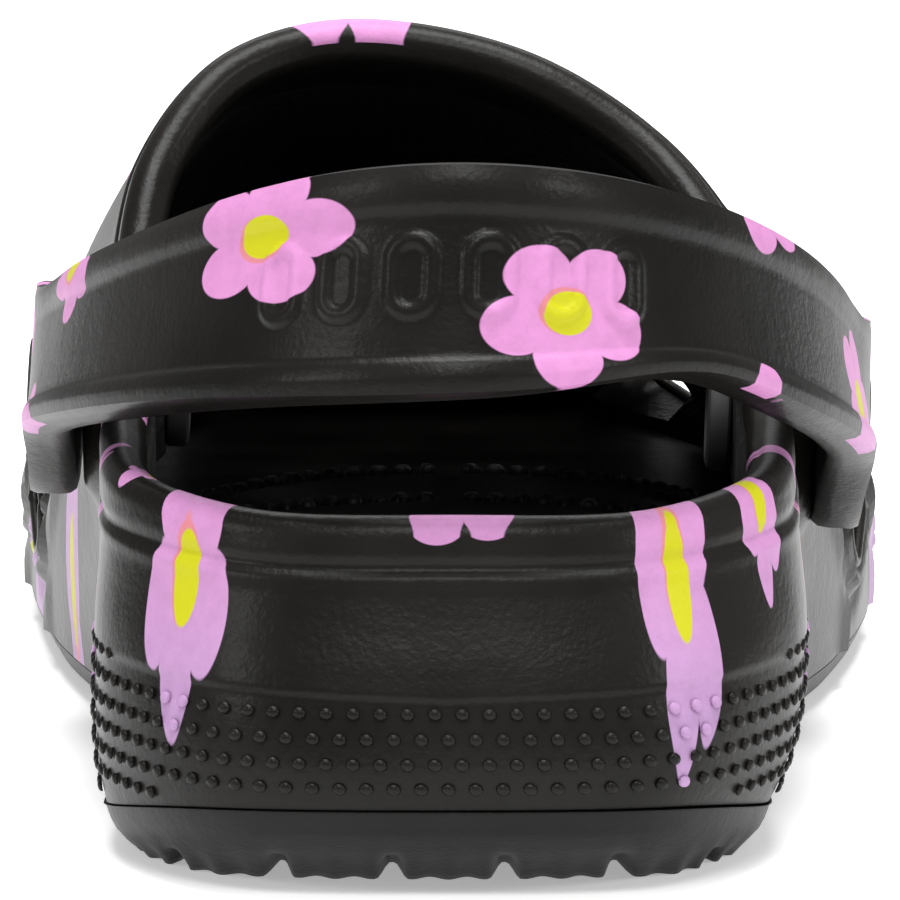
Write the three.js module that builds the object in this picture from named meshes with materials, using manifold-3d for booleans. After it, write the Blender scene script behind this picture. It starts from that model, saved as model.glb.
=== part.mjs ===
// A slip-on foam clog for the right foot with a swinging heel strap. The upper and footbed are
// one thick moulding, the tread is its own layer under it, and the strap turns on two snap
// rivets. X runs from the inner side of the foot to the outer, Y from heel to toe, Z up.

import * as THREE from "three";
import { mergeVertices } from "three/addons/utils/BufferGeometryUtils.js";
import Module from "manifold-3d";

const wasm = await Module();
wasm.setup();

// Overall sizes, in millimetres.
const LENGTH = 288;
const BALL_WIDTH = 111;
const HEEL_WIDTH = 84;
const HEEL_HEIGHT = 44;
const INSTEP_HEIGHT = 86.5;
const TOE_SPRING = 6;
const HEEL_SPRING = 6.4;

// The moulding.
const WALL = 5.6;
const TREAD_DEPTH = 5;
const FLOOR_HEEL = 24;
const FLOOR_BALL = 14.5;
const SIDE_BULGE = 1.4;
const HEEL_FLARE = 3.4; // the outer side of the heel swells this much above its narrower base
const SIDE_TAPER = 0.55; // how much of the way out to the footprint the upper sides follow
const TREAD_INSET = 5;
const HEEL_ROLL = 16; // how far forward the back of the heel first touches the ground
const GROOVE_WIDTH = 4;
const GROOVE_DEPTH = 3;
const GROOVES = [0.065, 0.145, 0.225, 0.305, 0.49, 0.56, 0.63, 0.7, 0.77, 0.84, 0.91];
const CHANNEL_LENGTH = 0.36; // the lengthways groove under the heel, as a share of the length
const GAP = 0.3; // between pieces that touch
const CUT_OVER = 5; // how far a cutter runs past the face it opens

// Air holes in the top of the toe and drain ports along its sides.
const VENT_RADIUS = 4.6;
const VENT_ROWS = [ // y as a share of the length, x in millimetres
  { y: 0.765, xs: [-25, -7, 11] },
  { y: 0.815, xs: [-33, -16, 1, 18] },
  { y: 0.865, xs: [-24, -7, 10] },
];
const PORT_LENGTH = 18;
const PORT_HEIGHT = 9;
const PORT_ABOVE_FLOOR = 5.5;
const PORTS = [0.305, 0.348, 0.391, 0.434, 0.57, 0.613, 0.656, 0.699]; // shares of the way round

// The strap and its two rivets.
const PIVOT_SHARE = 0.375; // how far along the clog the collar turns up and the strap hangs
const PIVOT_HEIGHT = 41;
const PIVOT_DROP = 4; // the outer rivet sits this much lower than the inner one
const BOSS_RADIUS = 11.5;
const BOSS_PROUD = 0.6;
const SEAT_RADIUS = 7; // the boss clears the wall this near the pivot, and cuts it flat beyond
const SEAT_CLEARANCE = 1.6;
const TAB_RADIUS = 13;
const STRAP_THICKNESS = 6.4;
const STRAP_HEIGHT = 27;
const STRAP_NECK = 18;
const STRAP_RISE = THREE.MathUtils.degToRad(16.4);
const STRAP_LEAN = THREE.MathUtils.degToRad(11); // the top edge of each leg leans inwards
const STRAP_SETBACK = 5; // from the back of the heel to the back of the strap
const STRAP_SQUARENESS = 1.88;
const HEAD_RADIUS = 6.5;
const HEAD_THICKNESS = 2.4;
const HEAD_RECESS = 2.4;
const SHANK_RADIUS = 3.2;
const CAP_RADIUS = 6.5;
const CAP_THICKNESS = 2.8;
const CAP_SKIN = 0.9; // left over the end of the shank

const AROUND = 72; // points in each loop round the clog
const OUTER_ROWS = 12;
const INNER_ROWS = 8;
const RIM_ROWS = 3;
const BASE_SHARES = [0.3, 0.65, 0.86, 0.95]; // loops of the flat joint between moulding and tread

const { clamp, lerp, smoothstep } = THREE.MathUtils;
const FOAM = { color: 0x24211f, roughness: 0.5, metalness: 0 };
const PLASTIC = { color: 0x1b1a19, roughness: 0.35, metalness: 0 };

const halfWidth = (y) => lerp(HEEL_WIDTH, BALL_WIDTH, smoothstep(y / LENGTH, 0.22, 0.58)) / 2;
const toeLift = (y) => TOE_SPRING * smoothstep(y / LENGTH, 0.68, 1.04) ** 1.2 * 1.1;
const heelLift = (y) => HEEL_SPRING * (1 - smoothstep(y, -0.5 * HEEL_ROLL, 2.8 * HEEL_ROLL));
const partingHeight = (y) => TREAD_DEPTH + toeLift(y) + heelLift(y);
const floorHeight = (y) =>
  lerp(FLOOR_HEEL, FLOOR_BALL, smoothstep(y / LENGTH, 0.2, 0.6)) + 0.4 * toeLift(y);

// Going round from the back of the heel by the outer side to the toe and back by the inner side:
// the footprint's [x, y] as shares of the local half width and the length, then the collar
// edge's [x, y] as shares of the heel's half width and the length, and its rise from the heel
// height (0) to the instep height (1).
const STATIONS = [
  [0, 0.004, 0, 0.03, 0],
  [0.57, 0.018, 0.54, 0.044, 0],
  [0.86, 0.085, 0.9, 0.1, 0.03],
  [0.9, 0.18, 0.97, 0.185, 0.06],
  [0.86, 0.31, 0.97, 0.285, 0.12],
  [0.94, 0.46, 0.93, 0.36, 0.32],
  [0.99, 0.61, 0.79, 0.405, 0.54],
  [0.92, 0.79, 0.6, 0.435, 0.72],
  [0.51, 0.943, 0.27, 0.45, 0.9],
  [-0.11, 0.996, -0.12, 0.455, 0.99],
  [-0.68, 0.943, -0.425, 0.45, 0.99],
  [-0.965, 0.82, -0.7, 0.43, 0.9],
  [-1, 0.68, -0.91, 0.395, 0.66],
  [-0.93, 0.51, -0.98, 0.345, 0.34],
  [-0.88, 0.335, -0.98, 0.275, 0.14],
  [-0.95, 0.19, -0.98, 0.185, 0.06],
  [-0.92, 0.085, -0.91, 0.1, 0.03],
  [-0.6, 0.018, -0.55, 0.044, 0],
];

const loop = (points) => new THREE.CatmullRomCurve3(points, true, "centripetal");
const footprint = loop(
  STATIONS.map(([x, y]) => {
    const along = y * LENGTH;
    return new THREE.Vector3(x * halfWidth(along), along, partingHeight(along));
  }),
);
const rimDrop = WALL / 2;
const collar = loop(
  STATIONS.map(([, , x, y, rise]) => {
    const low = HEEL_HEIGHT - rimDrop;
    const height = lerp(low, INSTEP_HEIGHT, rise);
    return new THREE.Vector3((x * HEEL_WIDTH) / 2, y * LENGTH, height);
  }),
);

function footEdge(u) {
  const point = footprint.getPoint(u);
  return point.setZ(partingHeight(point.y));
}

// The outer skin: u goes round the clog, v from the parting line up and back to the collar.
function outerSkin(u, v) {
  const foot = footEdge(u);
  const edge = collar.getPoint(u);
  const along = footprint.getTangent(u);
  const outward = new THREE.Vector3(along.y, -along.x, 0).normalize();
  const height = edge.z - foot.z;
  const back = new THREE.Vector3(foot.x - edge.x, foot.y - edge.y, 0);
  const domed = clamp(back.length() / (0.21 * LENGTH), 0, 1);
  const shoulder = foot.clone().addScaledVector(outward, SIDE_BULGE * (2 - domed));
  const ahead = smoothstep(back.y / back.length(), 0.6, 1);
  shoulder.z += lerp(0.3, 0.46, ahead * domed) * height;
  const reach = lerp(0.4, 0.6, ahead);
  const crown = edge.clone().addScaledVector(back, reach);
  crown.x = lerp(edge.x, crown.x, SIDE_TAPER);
  crown.z -= lerp(0.85, 0.28, ahead) * reach * back.length() + 0.33 * (1 - domed) * height;
  const flare = HEEL_FLARE * clamp(outward.x, 0, 1) * (1 - smoothstep(foot.y / LENGTH, 0.15, 0.32));
  shoulder.addScaledVector(outward, flare);
  crown.addScaledVector(outward, 0.6 * flare);
  return new THREE.CubicBezierCurve3(foot, shoulder, crown, edge).getPoint(v);
}

function skinFrame(u, v) {
  const step = 1e-3;
  const low = clamp(v - step, 0, 1);
  const high = clamp(v + step, 0, 1);
  const up = outerSkin(u, high).sub(outerSkin(u, low)).normalize();
  const round = outerSkin((u + step) % 1, v).sub(outerSkin((u - step + 1) % 1, v));
  const normal = round.cross(up).normalize();
  return { point: outerSkin(u, v), up, normal };
}

function innerSkin(u, v) {
  const { point, normal } = skinFrame(u, v);
  return point.addScaledVector(normal, -WALL);
}

// Joins loops of equally many points into a closed surface, with a point at each end. Two
// surfaces that lie against each other split their four-sided cells along the same diagonal.
function closedLoft(rows, first, last, flipped = false) {
  const count = rows[0].length;
  const points = [first, ...rows.flat(), last];
  const faces = [];
  const at = (row, i) => 1 + row * count + (i % count);
  for (let i = 0; i < count; i += 1) {
    faces.push(0, at(0, i + 1), at(0, i));
    faces.push(points.length - 1, at(rows.length - 1, i), at(rows.length - 1, i + 1));
    for (let row = 0; row + 1 < rows.length; row += 1) {
      const corners = [at(row, i), at(row, i + 1), at(row + 1, i + 1), at(row + 1, i)];
      if (flipped) corners.push(corners.shift());
      faces.push(corners[0], corners[1], corners[2], corners[0], corners[2], corners[3]);
    }
  }
  const geometry = new THREE.BufferGeometry().setFromPoints(points);
  geometry.setIndex(faces);
  return geometry;
}

const ring = (point) => Array.from({ length: AROUND }, (_, i) => point(i / AROUND));
const middle = (z) => new THREE.Vector3(0, LENGTH / 2, z);
const inwards = (point, share, z) => {
  const moved = middle(0).lerp(point, share);
  moved.z = z(moved.y);
  return moved;
};

function mouldingGeometry() {
  const feet = ring((u) => {
    let low = 0;
    let high = 1;
    for (let i = 0; i < 24; i += 1) {
      const v = (low + high) / 2;
      const point = innerSkin(u, v);
      if (point.z > floorHeight(point.y) + 3) high = v;
      else low = v;
    }
    return high;
  });
  const rows = [];
  for (const share of BASE_SHARES) {
    rows.push(ring((u) => inwards(footEdge(u), share, partingHeight)));
  }
  for (let row = 0; row <= OUTER_ROWS; row += 1) {
    rows.push(ring((u) => outerSkin(u, row / OUTER_ROWS)));
  }
  for (let row = 1; row <= RIM_ROWS; row += 1) {
    const turn = (Math.PI * row) / (RIM_ROWS + 1);
    rows.push(
      ring((u) => {
        const { point, up, normal } = skinFrame(u, 1);
        const across = (WALL / 2) * (Math.cos(turn) - 1);
        return point
          .addScaledVector(normal, across)
          .addScaledVector(up, (WALL / 2) * Math.sin(turn));
      }),
    );
  }
  for (let row = INNER_ROWS; row >= 0; row -= 1) {
    rows.push(ring((u) => innerSkin(u, lerp(feet[Math.round(u * AROUND)], 1, row / INNER_ROWS))));
  }
  const foot = rows.at(-1);
  for (const share of [0.95, 0.8, 0.5, 0.2]) {
    rows.push(foot.map((point) => inwards(point, share, floorHeight)));
  }
  return closedLoft(rows, middle(partingHeight(LENGTH / 2)), middle(floorHeight(LENGTH / 2)));
}

function toSolid(geometry) {
  const bare = geometry.index ? geometry.clone() : geometry;
  bare.deleteAttribute("normal");
  bare.deleteAttribute("uv");
  const merged = mergeVertices(bare, 1e-4);
  const mesh = new wasm.Mesh({
    numProp: 3,
    vertProperties: new Float32Array(merged.attributes.position.array),
    triVerts: new Uint32Array(merged.index.array),
  });
  return new wasm.Manifold(mesh);
}

function fromSolid(solid) {
  const { vertProperties, triVerts } = solid.getMesh();
  const geometry = new THREE.BufferGeometry();
  geometry.setAttribute("position", new THREE.BufferAttribute(vertProperties, 3));
  geometry.setIndex(new THREE.BufferAttribute(triVerts, 1));
  return geometry;
}

// The rivets' line: its middle, and the turn that tips its outer end down. The bosses stand
// just proud of the wall's outside and inside, so the strap and the caps sit on flat faces.
const pivotY = PIVOT_SHARE * LENGTH;
const bossFace = Math.max(...wallNearPivot(outerSkin, SEAT_RADIUS)) + BOSS_PROUD;
const bossBack = Math.min(...wallNearPivot(innerSkin, CAP_RADIUS)) - BOSS_PROUD;
const pivotTilt = Math.atan2(PIVOT_DROP, 2 * bossFace);
const pivotFrame = new THREE.Matrix4()
  .makeTranslation(0, pivotY, PIVOT_HEIGHT)
  .multiply(new THREE.Matrix4().makeRotationY(pivotTilt));

function wallNearPivot(skin, radius) {
  const distances = [];
  for (let i = 0; i < 4 * AROUND; i += 1) {
    for (let row = 0; row <= 40; row += 1) {
      const point = skin(i / (4 * AROUND), row / 40);
      const height = PIVOT_HEIGHT - (Math.sign(point.x) * PIVOT_DROP) / 2;
      const away = Math.hypot(point.y - pivotY, point.z - height);
      if (away < radius + 1) distances.push(Math.abs(point.x));
    }
  }
  return distances;
}

// A round bar along X in the pivot frame, from one x to another.
function bar(radius, from, to, sides = 32) {
  const cylinder = new THREE.CylinderGeometry(radius, radius, to - from, sides);
  cylinder.rotateZ(Math.PI / 2);
  cylinder.translate((from + to) / 2, 0, 0);
  return cylinder;
}

const sided = (side, low, high) => (side > 0 ? [low, high] : [-high, -low]);

// Upright cutters that start above the footbed and pass through the top of the toe.
function vents() {
  const height = 2 * FLOOR_HEEL;
  const start = PORT_HEIGHT + 2 * PORT_ABOVE_FLOOR;
  const cutters = [];
  for (const { y, xs } of VENT_ROWS) {
    const along = y * LENGTH;
    for (const x of xs) {
      const hole = new THREE.CylinderGeometry(VENT_RADIUS, VENT_RADIUS, height, 20);
      hole.rotateX(Math.PI / 2);
      hole.translate(x, along, floorHeight(along) + start + height / 2);
      cutters.push(hole);
    }
  }
  return cutters;
}

// A slot with round ends, cut along the skin's own normal.
function portCutter(u) {
  let v = 0;
  while (outerSkin(u, v).z < floorHeight(outerSkin(u, v).y) + PORT_ABOVE_FLOOR) v += 0.005;
  const { point, up, normal } = skinFrame(u, v);
  const flat = (PORT_LENGTH - PORT_HEIGHT) / 2;
  const slot = new THREE.Shape();
  slot.absarc(flat, 0, PORT_HEIGHT / 2, -Math.PI / 2, Math.PI / 2);
  slot.absarc(-flat, 0, PORT_HEIGHT / 2, Math.PI / 2, (3 * Math.PI) / 2);
  const depth = 4 * WALL;
  const geometry = new THREE.ExtrudeGeometry(slot, { depth, bevelEnabled: false, curveSegments: 6 });
  geometry.translate(0, 0, -depth / 2);
  const sideways = new THREE.Vector3().crossVectors(up, normal).normalize();
  geometry.applyMatrix4(new THREE.Matrix4().makeBasis(sideways, up, normal));
  geometry.translate(point.x, point.y, point.z);
  return geometry;
}

function upperBody() {
  let body = toSolid(mouldingGeometry());
  for (const side of [-1, 1]) {
    const outer = bar(BOSS_RADIUS, ...sided(side, bossFace - WALL, bossFace));
    const inner = bar(CAP_RADIUS + 1, ...sided(side, bossBack, bossFace - 1));
    body = body.add(toSolid(outer.applyMatrix4(pivotFrame)));
    body = body.add(toSolid(inner.applyMatrix4(pivotFrame)));
  }
  for (const side of [-1, 1]) {
    const bore = bar(SHANK_RADIUS + GAP, ...sided(side, bossBack - CUT_OVER, bossFace + CUT_OVER));
    const seat = bar(TAB_RADIUS + SEAT_CLEARANCE, ...sided(side, bossFace, bossFace + CUT_OVER));
    body = body.subtract(toSolid(bore.applyMatrix4(pivotFrame)));
    body = body.subtract(toSolid(seat.applyMatrix4(pivotFrame)));
  }
  for (const cutter of [...vents(), ...PORTS.map(portCutter)]) {
    body = body.subtract(toSolid(cutter));
  }
  return fromSolid(body);
}

// The edge of the flat ground contact, inside the footprint's edge and further in at the heel.
function contactPoint(u) {
  const edge = footEdge(u);
  const along = footprint.getTangent(u);
  const outward = new THREE.Vector3(along.y, -along.x, 0).normalize();
  edge.x -= TREAD_INSET * outward.x;
  edge.y -= (outward.y < 0 ? HEEL_ROLL : TREAD_INSET) * outward.y;
  return edge.setZ(toeLift(edge.y));
}

function outsole() {
  const rows = [];
  for (const share of [0.3, 0.65, 1]) {
    rows.push(ring((u) => inwards(contactPoint(u), share, toeLift)));
  }
  const underside = (u) => footEdge(u).setZ(partingHeight(footEdge(u).y) - TREAD_DEPTH);
  rows.push(ring((u) => contactPoint(u).lerp(underside(u), 0.6)));
  rows.push(
    ring((u) => {
      const corner = footEdge(u).lerp(contactPoint(u), 0.06);
      return corner.setZ(underside(u).z + 0.4 * TREAD_DEPTH);
    }),
  );
  rows.push(ring((u) => footEdge(u).setZ(footEdge(u).z - GAP)));
  for (const share of [...BASE_SHARES].reverse()) {
    rows.push(ring((u) => inwards(footEdge(u), share, (y) => partingHeight(y) - GAP)));
  }
  const top = middle(partingHeight(LENGTH / 2) - GAP);
  let tread = toSolid(closedLoft(rows, middle(0), top, true));
  for (const y of GROOVES) {
    const groove = new THREE.BoxGeometry(BALL_WIDTH + 20, GROOVE_WIDTH, 2 * GROOVE_DEPTH);
    groove.translate(0, y * LENGTH, toeLift(y * LENGTH));
    tread = tread.subtract(toSolid(groove));
  }
  const channel = new THREE.BoxGeometry(GROOVE_WIDTH, CHANNEL_LENGTH * LENGTH, 2 * GROOVE_DEPTH);
  channel.translate(-0.03 * BALL_WIDTH, 0.125 * LENGTH, 0);
  return fromSolid(tread.subtract(toSolid(channel)));
}

// The strap in the pivot frame: its path lies in a plane through the rivets' line, straight
// past each rivet and then round the heel as a squarish half ellipse.
const strapMiddle = bossFace + GAP + STRAP_THICKNESS / 2;
const strapFace = strapMiddle + STRAP_THICKNESS / 2;
const strapReach = (pivotY - STRAP_SETBACK) / Math.cos(STRAP_RISE) - STRAP_THICKNESS / 2;
const strapStraight = TAB_RADIUS + 1;

function strapPath() {
  const points = [];
  const ends = 7;
  for (let i = 0; i < ends; i += 1) {
    const turn = (Math.PI / 2) * (i / ends);
    points.push(new THREE.Vector3(strapMiddle, TAB_RADIUS * Math.cos(turn), 0));
  }
  points.push(new THREE.Vector3(strapMiddle, 0, 0));
  points.push(new THREE.Vector3(strapMiddle, -strapStraight / 2, 0));
  const bend = 16;
  for (let i = 0; i <= bend; i += 1) {
    const turn = (Math.PI / 2) * (i / bend);
    const power = 2 / STRAP_SQUARENESS;
    const x = strapMiddle * Math.cos(turn) ** power;
    const y = -strapStraight - (strapReach - strapStraight) * Math.sin(turn) ** power;
    points.push(new THREE.Vector3(i === bend ? 0 : x, y, 0));
  }
  const mirrored = points
    .slice(0, -1)
    .reverse()
    .map((point) => new THREE.Vector3(-point.x, point.y, 0));
  return [...points, ...mirrored];
}

function strapHalfHeight(point) {
  if (point.y > 0) return Math.sqrt(Math.max(TAB_RADIUS ** 2 - point.y ** 2, 0.3));
  const band = lerp(STRAP_HEIGHT, STRAP_NECK, (point.x / strapMiddle) ** 2) / 2;
  return lerp(TAB_RADIUS, band, smoothstep(-point.y, 0, 2.2 * TAB_RADIUS));
}

// One section across the strap: an upright rectangle with rounded corners, leaning inwards along
// each leg, and level over the heel although the rivets' line is not.
function strapSection(path, i) {
  const point = path[i];
  const before = path[Math.max(i - 1, 0)];
  const after = path[Math.min(i + 1, path.length - 1)];
  const along = after.clone().sub(before).normalize();
  const outward = new THREE.Vector3(-along.y, along.x, 0);
  const back = -point.y / strapReach;
  const side = Math.abs(point.x) / strapMiddle;
  const lean = STRAP_LEAN * smoothstep(back, 0.12, 0.36) * smoothstep(side, 0.1, 0.8);
  const level = point.x * Math.tan(pivotTilt) * smoothstep(back, 0.1, 0.8);
  const half = strapHalfHeight(point);
  const thick = STRAP_THICKNESS / 2;
  const roundOut = 0.75 * thick;
  const roundUp = 0.75 * Math.min(thick, 0.8 * half);
  const section = [];
  for (const [x, z] of [[1, 1], [1, -1], [-1, -1], [-1, 1]]) {
    for (const turn of x * z > 0 ? [0.12, 0.5, 0.88] : [0.88, 0.5, 0.12]) {
      const angle = (Math.PI / 2) * turn;
      const out = x * (thick - roundOut * (1 - Math.sin(angle)));
      const up = z * (half - roundUp * (1 - Math.cos(angle)));
      const across = out * Math.cos(lean) - up * Math.sin(lean);
      const height = up * Math.cos(lean) + out * Math.sin(lean) + level;
      section.push(point.clone().addScaledVector(outward, across).setZ(height));
    }
  }
  return section.reverse();
}

function heelStrap() {
  const path = strapPath();
  const sections = path.map((_, i) => strapSection(path, i));
  const centre = (section) => {
    const sum = section.reduce((total, point) => total.add(point), new THREE.Vector3());
    return sum.divideScalar(section.length);
  };
  let strap = toSolid(closedLoft(sections, centre(sections[0]), centre(sections.at(-1))));
  for (const side of [-1, 1]) {
    const bore = bar(SHANK_RADIUS + GAP, ...sided(side, bossFace, strapFace + CUT_OVER));
    const recess = bar(
      HEAD_RADIUS + GAP,
      ...sided(side, strapFace - HEAD_RECESS, strapFace + CUT_OVER),
    );
    strap = strap.subtract(toSolid(bore)).subtract(toSolid(recess));
  }
  const geometry = fromSolid(strap);
  geometry.rotateX(-STRAP_RISE);
  return geometry.applyMatrix4(pivotFrame);
}

// A turned piece about X in the pivot frame, from [distance outwards, radius] pairs.
function turned(profile, side) {
  const outline = profile.map(([out, radius]) => new THREE.Vector2(radius, out));
  const geometry = new THREE.LatheGeometry(outline, 32);
  geometry.rotateZ(-Math.PI / 2);
  if (side < 0) geometry.rotateY(Math.PI);
  return geometry.applyMatrix4(pivotFrame);
}

const headBase = strapFace - HEAD_RECESS + GAP;
const capBase = bossBack - GAP;
const shankEnd = capBase - CAP_THICKNESS + CAP_SKIN + GAP;

function rivetStud(side) {
  const top = headBase + HEAD_THICKNESS;
  const profile = [
    [shankEnd, 0],
    [shankEnd, SHANK_RADIUS - 0.5],
    [shankEnd + 0.5, SHANK_RADIUS],
    [headBase, SHANK_RADIUS],
    [headBase, HEAD_RADIUS],
    [top - 0.8, HEAD_RADIUS],
    [top, HEAD_RADIUS - 1],
    [top - 0.3, HEAD_RADIUS - 2.5],
    [top - 0.3, 0],
  ];
  return turned(profile, side);
}

function rivetCap(side) {
  const socket = SHANK_RADIUS + GAP;
  const end = capBase - CAP_THICKNESS;
  const profile = [
    [end, 0],
    [end, CAP_RADIUS - 1.2],
    [end + 1.2, CAP_RADIUS],
    [capBase, CAP_RADIUS],
    [capBase, socket],
    [shankEnd - GAP, socket],
    [shankEnd - GAP, 0],
  ];
  return turned(profile, side);
}

function piece(name, geometry, finish) {
  const mesh = new THREE.Mesh(geometry, new THREE.MeshStandardMaterial(finish));
  mesh.name = name;
  return mesh;
}

const clog = new THREE.Group();
clog.add(piece("upper_body", upperBody(), FOAM));
clog.add(piece("outsole", outsole(), FOAM));
clog.add(piece("heel_strap", heelStrap(), FOAM));
for (const [name, side] of [["inner", -1], ["outer", 1]]) {
  clog.add(piece(`rivet_stud_${name}`, rivetStud(side), PLASTIC));
  clog.add(piece(`rivet_cap_${name}`, rivetCap(side), PLASTIC));
}

// The origin is under the middle of the whole clog, on the ground.
const box = new THREE.Box3().setFromObject(clog);
clog.position.set(-(box.min.x + box.max.x) / 2, -(box.min.y + box.max.y) / 2, -box.min.z);

export default clog;
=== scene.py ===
"""A slip-on foam clog for the right foot: its moulded shell, tread, heel strap and rivets.

Lengths are millimetres in the clog's own frame (heel at y = 0, ground at z = 0) until a piece is
made, when they are put in metres where the loaded frame has them.
"""

import math

import bmesh
import bpy
import numpy as np
from bpy.props import FloatProperty, FloatVectorProperty, IntProperty, PointerProperty
from mathutils import Matrix, Vector
from mathutils.bvhtree import BVHTree


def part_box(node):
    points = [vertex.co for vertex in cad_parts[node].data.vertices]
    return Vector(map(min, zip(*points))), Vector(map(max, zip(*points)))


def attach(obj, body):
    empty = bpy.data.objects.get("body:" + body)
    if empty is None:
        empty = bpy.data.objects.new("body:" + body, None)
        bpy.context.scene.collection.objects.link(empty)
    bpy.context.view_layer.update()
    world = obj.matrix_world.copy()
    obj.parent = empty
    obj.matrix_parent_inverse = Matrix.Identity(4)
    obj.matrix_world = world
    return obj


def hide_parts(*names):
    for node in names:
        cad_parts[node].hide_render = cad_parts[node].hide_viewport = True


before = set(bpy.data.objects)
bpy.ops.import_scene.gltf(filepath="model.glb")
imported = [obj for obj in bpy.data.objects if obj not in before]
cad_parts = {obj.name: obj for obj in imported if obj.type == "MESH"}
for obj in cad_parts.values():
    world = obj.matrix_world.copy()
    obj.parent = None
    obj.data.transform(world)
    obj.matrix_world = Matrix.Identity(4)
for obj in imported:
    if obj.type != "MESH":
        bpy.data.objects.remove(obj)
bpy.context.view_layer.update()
BODY_LOW, BODY_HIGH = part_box("upper_body")

bl_info = {
    "name": "Foam Clog",
    "version": (1, 0, 0),
    "blender": (4, 5, 0),
    "location": "3D View > Sidebar > Clog",
    "description": "Makes the shell, tread, strap and rivets of a foam clog",
    "category": "Object",
}

MM = 0.001

# The moulding, as the frame has it.
LENGTH = 288.0
BALL_WIDTH = 111.0
HEEL_WIDTH = 84.0
HEEL_HEIGHT = 44.0
INSTEP_HEIGHT = 86.5
TOE_SPRING = 6.0
HEEL_SPRING = 6.4
WALL = 5.6
TREAD_DEPTH = 5.0
FLOOR_HEEL = 24.0
FLOOR_BALL = 14.5
SIDE_BULGE = 1.4
HEEL_FLARE = 3.4
SIDE_TAPER = 0.55
TREAD_INSET = 5.0
HEEL_ROLL = 16.0
GAP = 0.3

VENT_RADIUS = 4.6
VENT_ROWS = ((0.765, (-25, -7, 11)), (0.815, (-33, -16, 1, 18)), (0.865, (-24, -7, 10)))
PORT_LENGTH = 18.0
PORT_HEIGHT = 9.0
PORT_ABOVE_FLOOR = 5.5
# Raised lines of the outside: height, distance from the opening or the collar, and width.
PORT_LIP = (1.1, 2.4, 1.5)
PORT_DIP = (-0.9, 5.6, 1.5)
PORT_FOLD = (0.9, 14.5, 1.9)
COLLAR_CREASE = (-0.5, 3.4, 0.8)
COLLAR_BEAD = (0.28, 5.0, 1.0)
LINING_GROOVE = (0.45, 3.6, 0.7)
BAND_TOP = 23.4  # height of the dotted band's upper edge at the back of the heel
PORTS = (0.305, 0.348, 0.391, 0.434, 0.57, 0.613, 0.656, 0.699)

PIVOT_Y = 0.375 * LENGTH
PIVOT_HEIGHT = 41.0
PIVOT_DROP = 4.0
BOSS_FACE = 44.92
BOSS_BACK = 34.97
BOSS_RADIUS = 11.5
TAB_RADIUS = 13.0
STRAP_THICKNESS = 6.4
STRAP_HEIGHT = 27.0
STRAP_NECK = 18.0
STRAP_RISE = math.radians(16.4)
STRAP_LEAN = math.radians(11)
STRAP_SETBACK = 5.0
STRAP_SQUARENESS = 1.88
HEAD_RADIUS = 6.5
HEAD_THICKNESS = 2.4
SHANK_RADIUS = 3.2
CAP_RADIUS = 6.5
CAP_THICKNESS = 2.8
CAP_SKIN = 0.9

# Round the clog from the back of the heel by the outer side: footprint x and y as shares of the
# half width and the length, collar x and y as shares of the heel's half width and the length,
# and the collar's rise from the heel height (0) to the instep height (1).
STATIONS = np.array([
    [0, 0.004, 0, 0.03, 0],
    [0.57, 0.018, 0.54, 0.044, 0],
    [0.86, 0.085, 0.9, 0.1, 0.03],
    [0.9, 0.18, 0.97, 0.185, 0.06],
    [0.86, 0.31, 0.97, 0.285, 0.12],
    [0.94, 0.46, 0.93, 0.36, 0.32],
    [0.99, 0.61, 0.79, 0.405, 0.54],
    [0.92, 0.79, 0.6, 0.435, 0.72],
    [0.51, 0.943, 0.27, 0.45, 0.9],
    [-0.11, 0.996, -0.12, 0.455, 0.99],
    [-0.68, 0.943, -0.425, 0.45, 0.99],
    [-0.965, 0.82, -0.7, 0.43, 0.9],
    [-1, 0.68, -0.91, 0.395, 0.66],
    [-0.93, 0.51, -0.98, 0.345, 0.34],
    [-0.88, 0.335, -0.98, 0.275, 0.14],
    [-0.95, 0.19, -0.98, 0.185, 0.06],
    [-0.92, 0.085, -0.91, 0.1, 0.03],
    [-0.6, 0.018, -0.55, 0.044, 0],
])

# Printed flowers on the forefoot: (x, y, petal reach, turn in degrees), in plan at the instep
# and spread outwards below it by a fifth of the drop.
BODY_FLOWERS = (
    (-61.0, 126.0, 5.0, 15),
    (-66.0, 164.0, 7.5, 130),
    (66.0, 176.0, 8.0, 20),
    (-12.6, 135.4, 10.5, 90),
    (16.0, 156.0, 9.0, 40),
    (-38.0, 142.0, 8.5, 80),
    (41.0, 150.0, 8.5, 100),
    (-8.0, 172.0, 9.0, 60),
    (-34.0, 178.0, 9.0, 20),
    (22.0, 186.0, 9.0, 50),
    (47.0, 200.0, 8.5, 10),
    (-56.0, 200.0, 8.5, 44),
    (-12.0, 202.0, 8.5, 24),
    (26.0, 221.0, 8.5, 64),
    (-42.0, 232.0, 8.5, 0),
    (62.0, 226.0, 8.0, 36),
    (3.0, 258.0, 9.0, 12),
    (-18.0, 284.0, 8.5, 50),
    (36.0, 262.0, 8.5, 30),
    (-48.0, 268.0, 8.0, 20),
    (18.0, 296.0, 8.0, 80),
    (54.0, 288.0, 8.0, 10),
    (-67.0, 236.0, 7.5, 70),
)
# Flowers that run down the heel's wall: (way round from the back's middle, height over the
# collar's outer edge, reach sideways, reach down the wall, turn in degrees).
HEEL_FLOWERS = (
    (-33.5, -6.4, 7.0, 19.5, -90),
    (28.3, -6.3, 5.7, 25.0, -112),
    (1.0, 4.7, 8.6, 6.2, -46),
    (44.8, 0.4, 4.4, 12.5, -100),
    (-49.0, 5.2, 5.0, 5.0, -90),
    (66.0, -10.0, 3.0, 19.0, -84),
    (-66.0, -12.0, 4.4, 17.0, -100),
    (-92.0, -8.0, 5.0, 18.0, -75),
)
HEEL_MAP = 1000.0  # keeps the heel's own map apart from the plan
HEEL_SHARE = 0.2  # how far round each way from the back the wall carries those flowers
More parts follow.
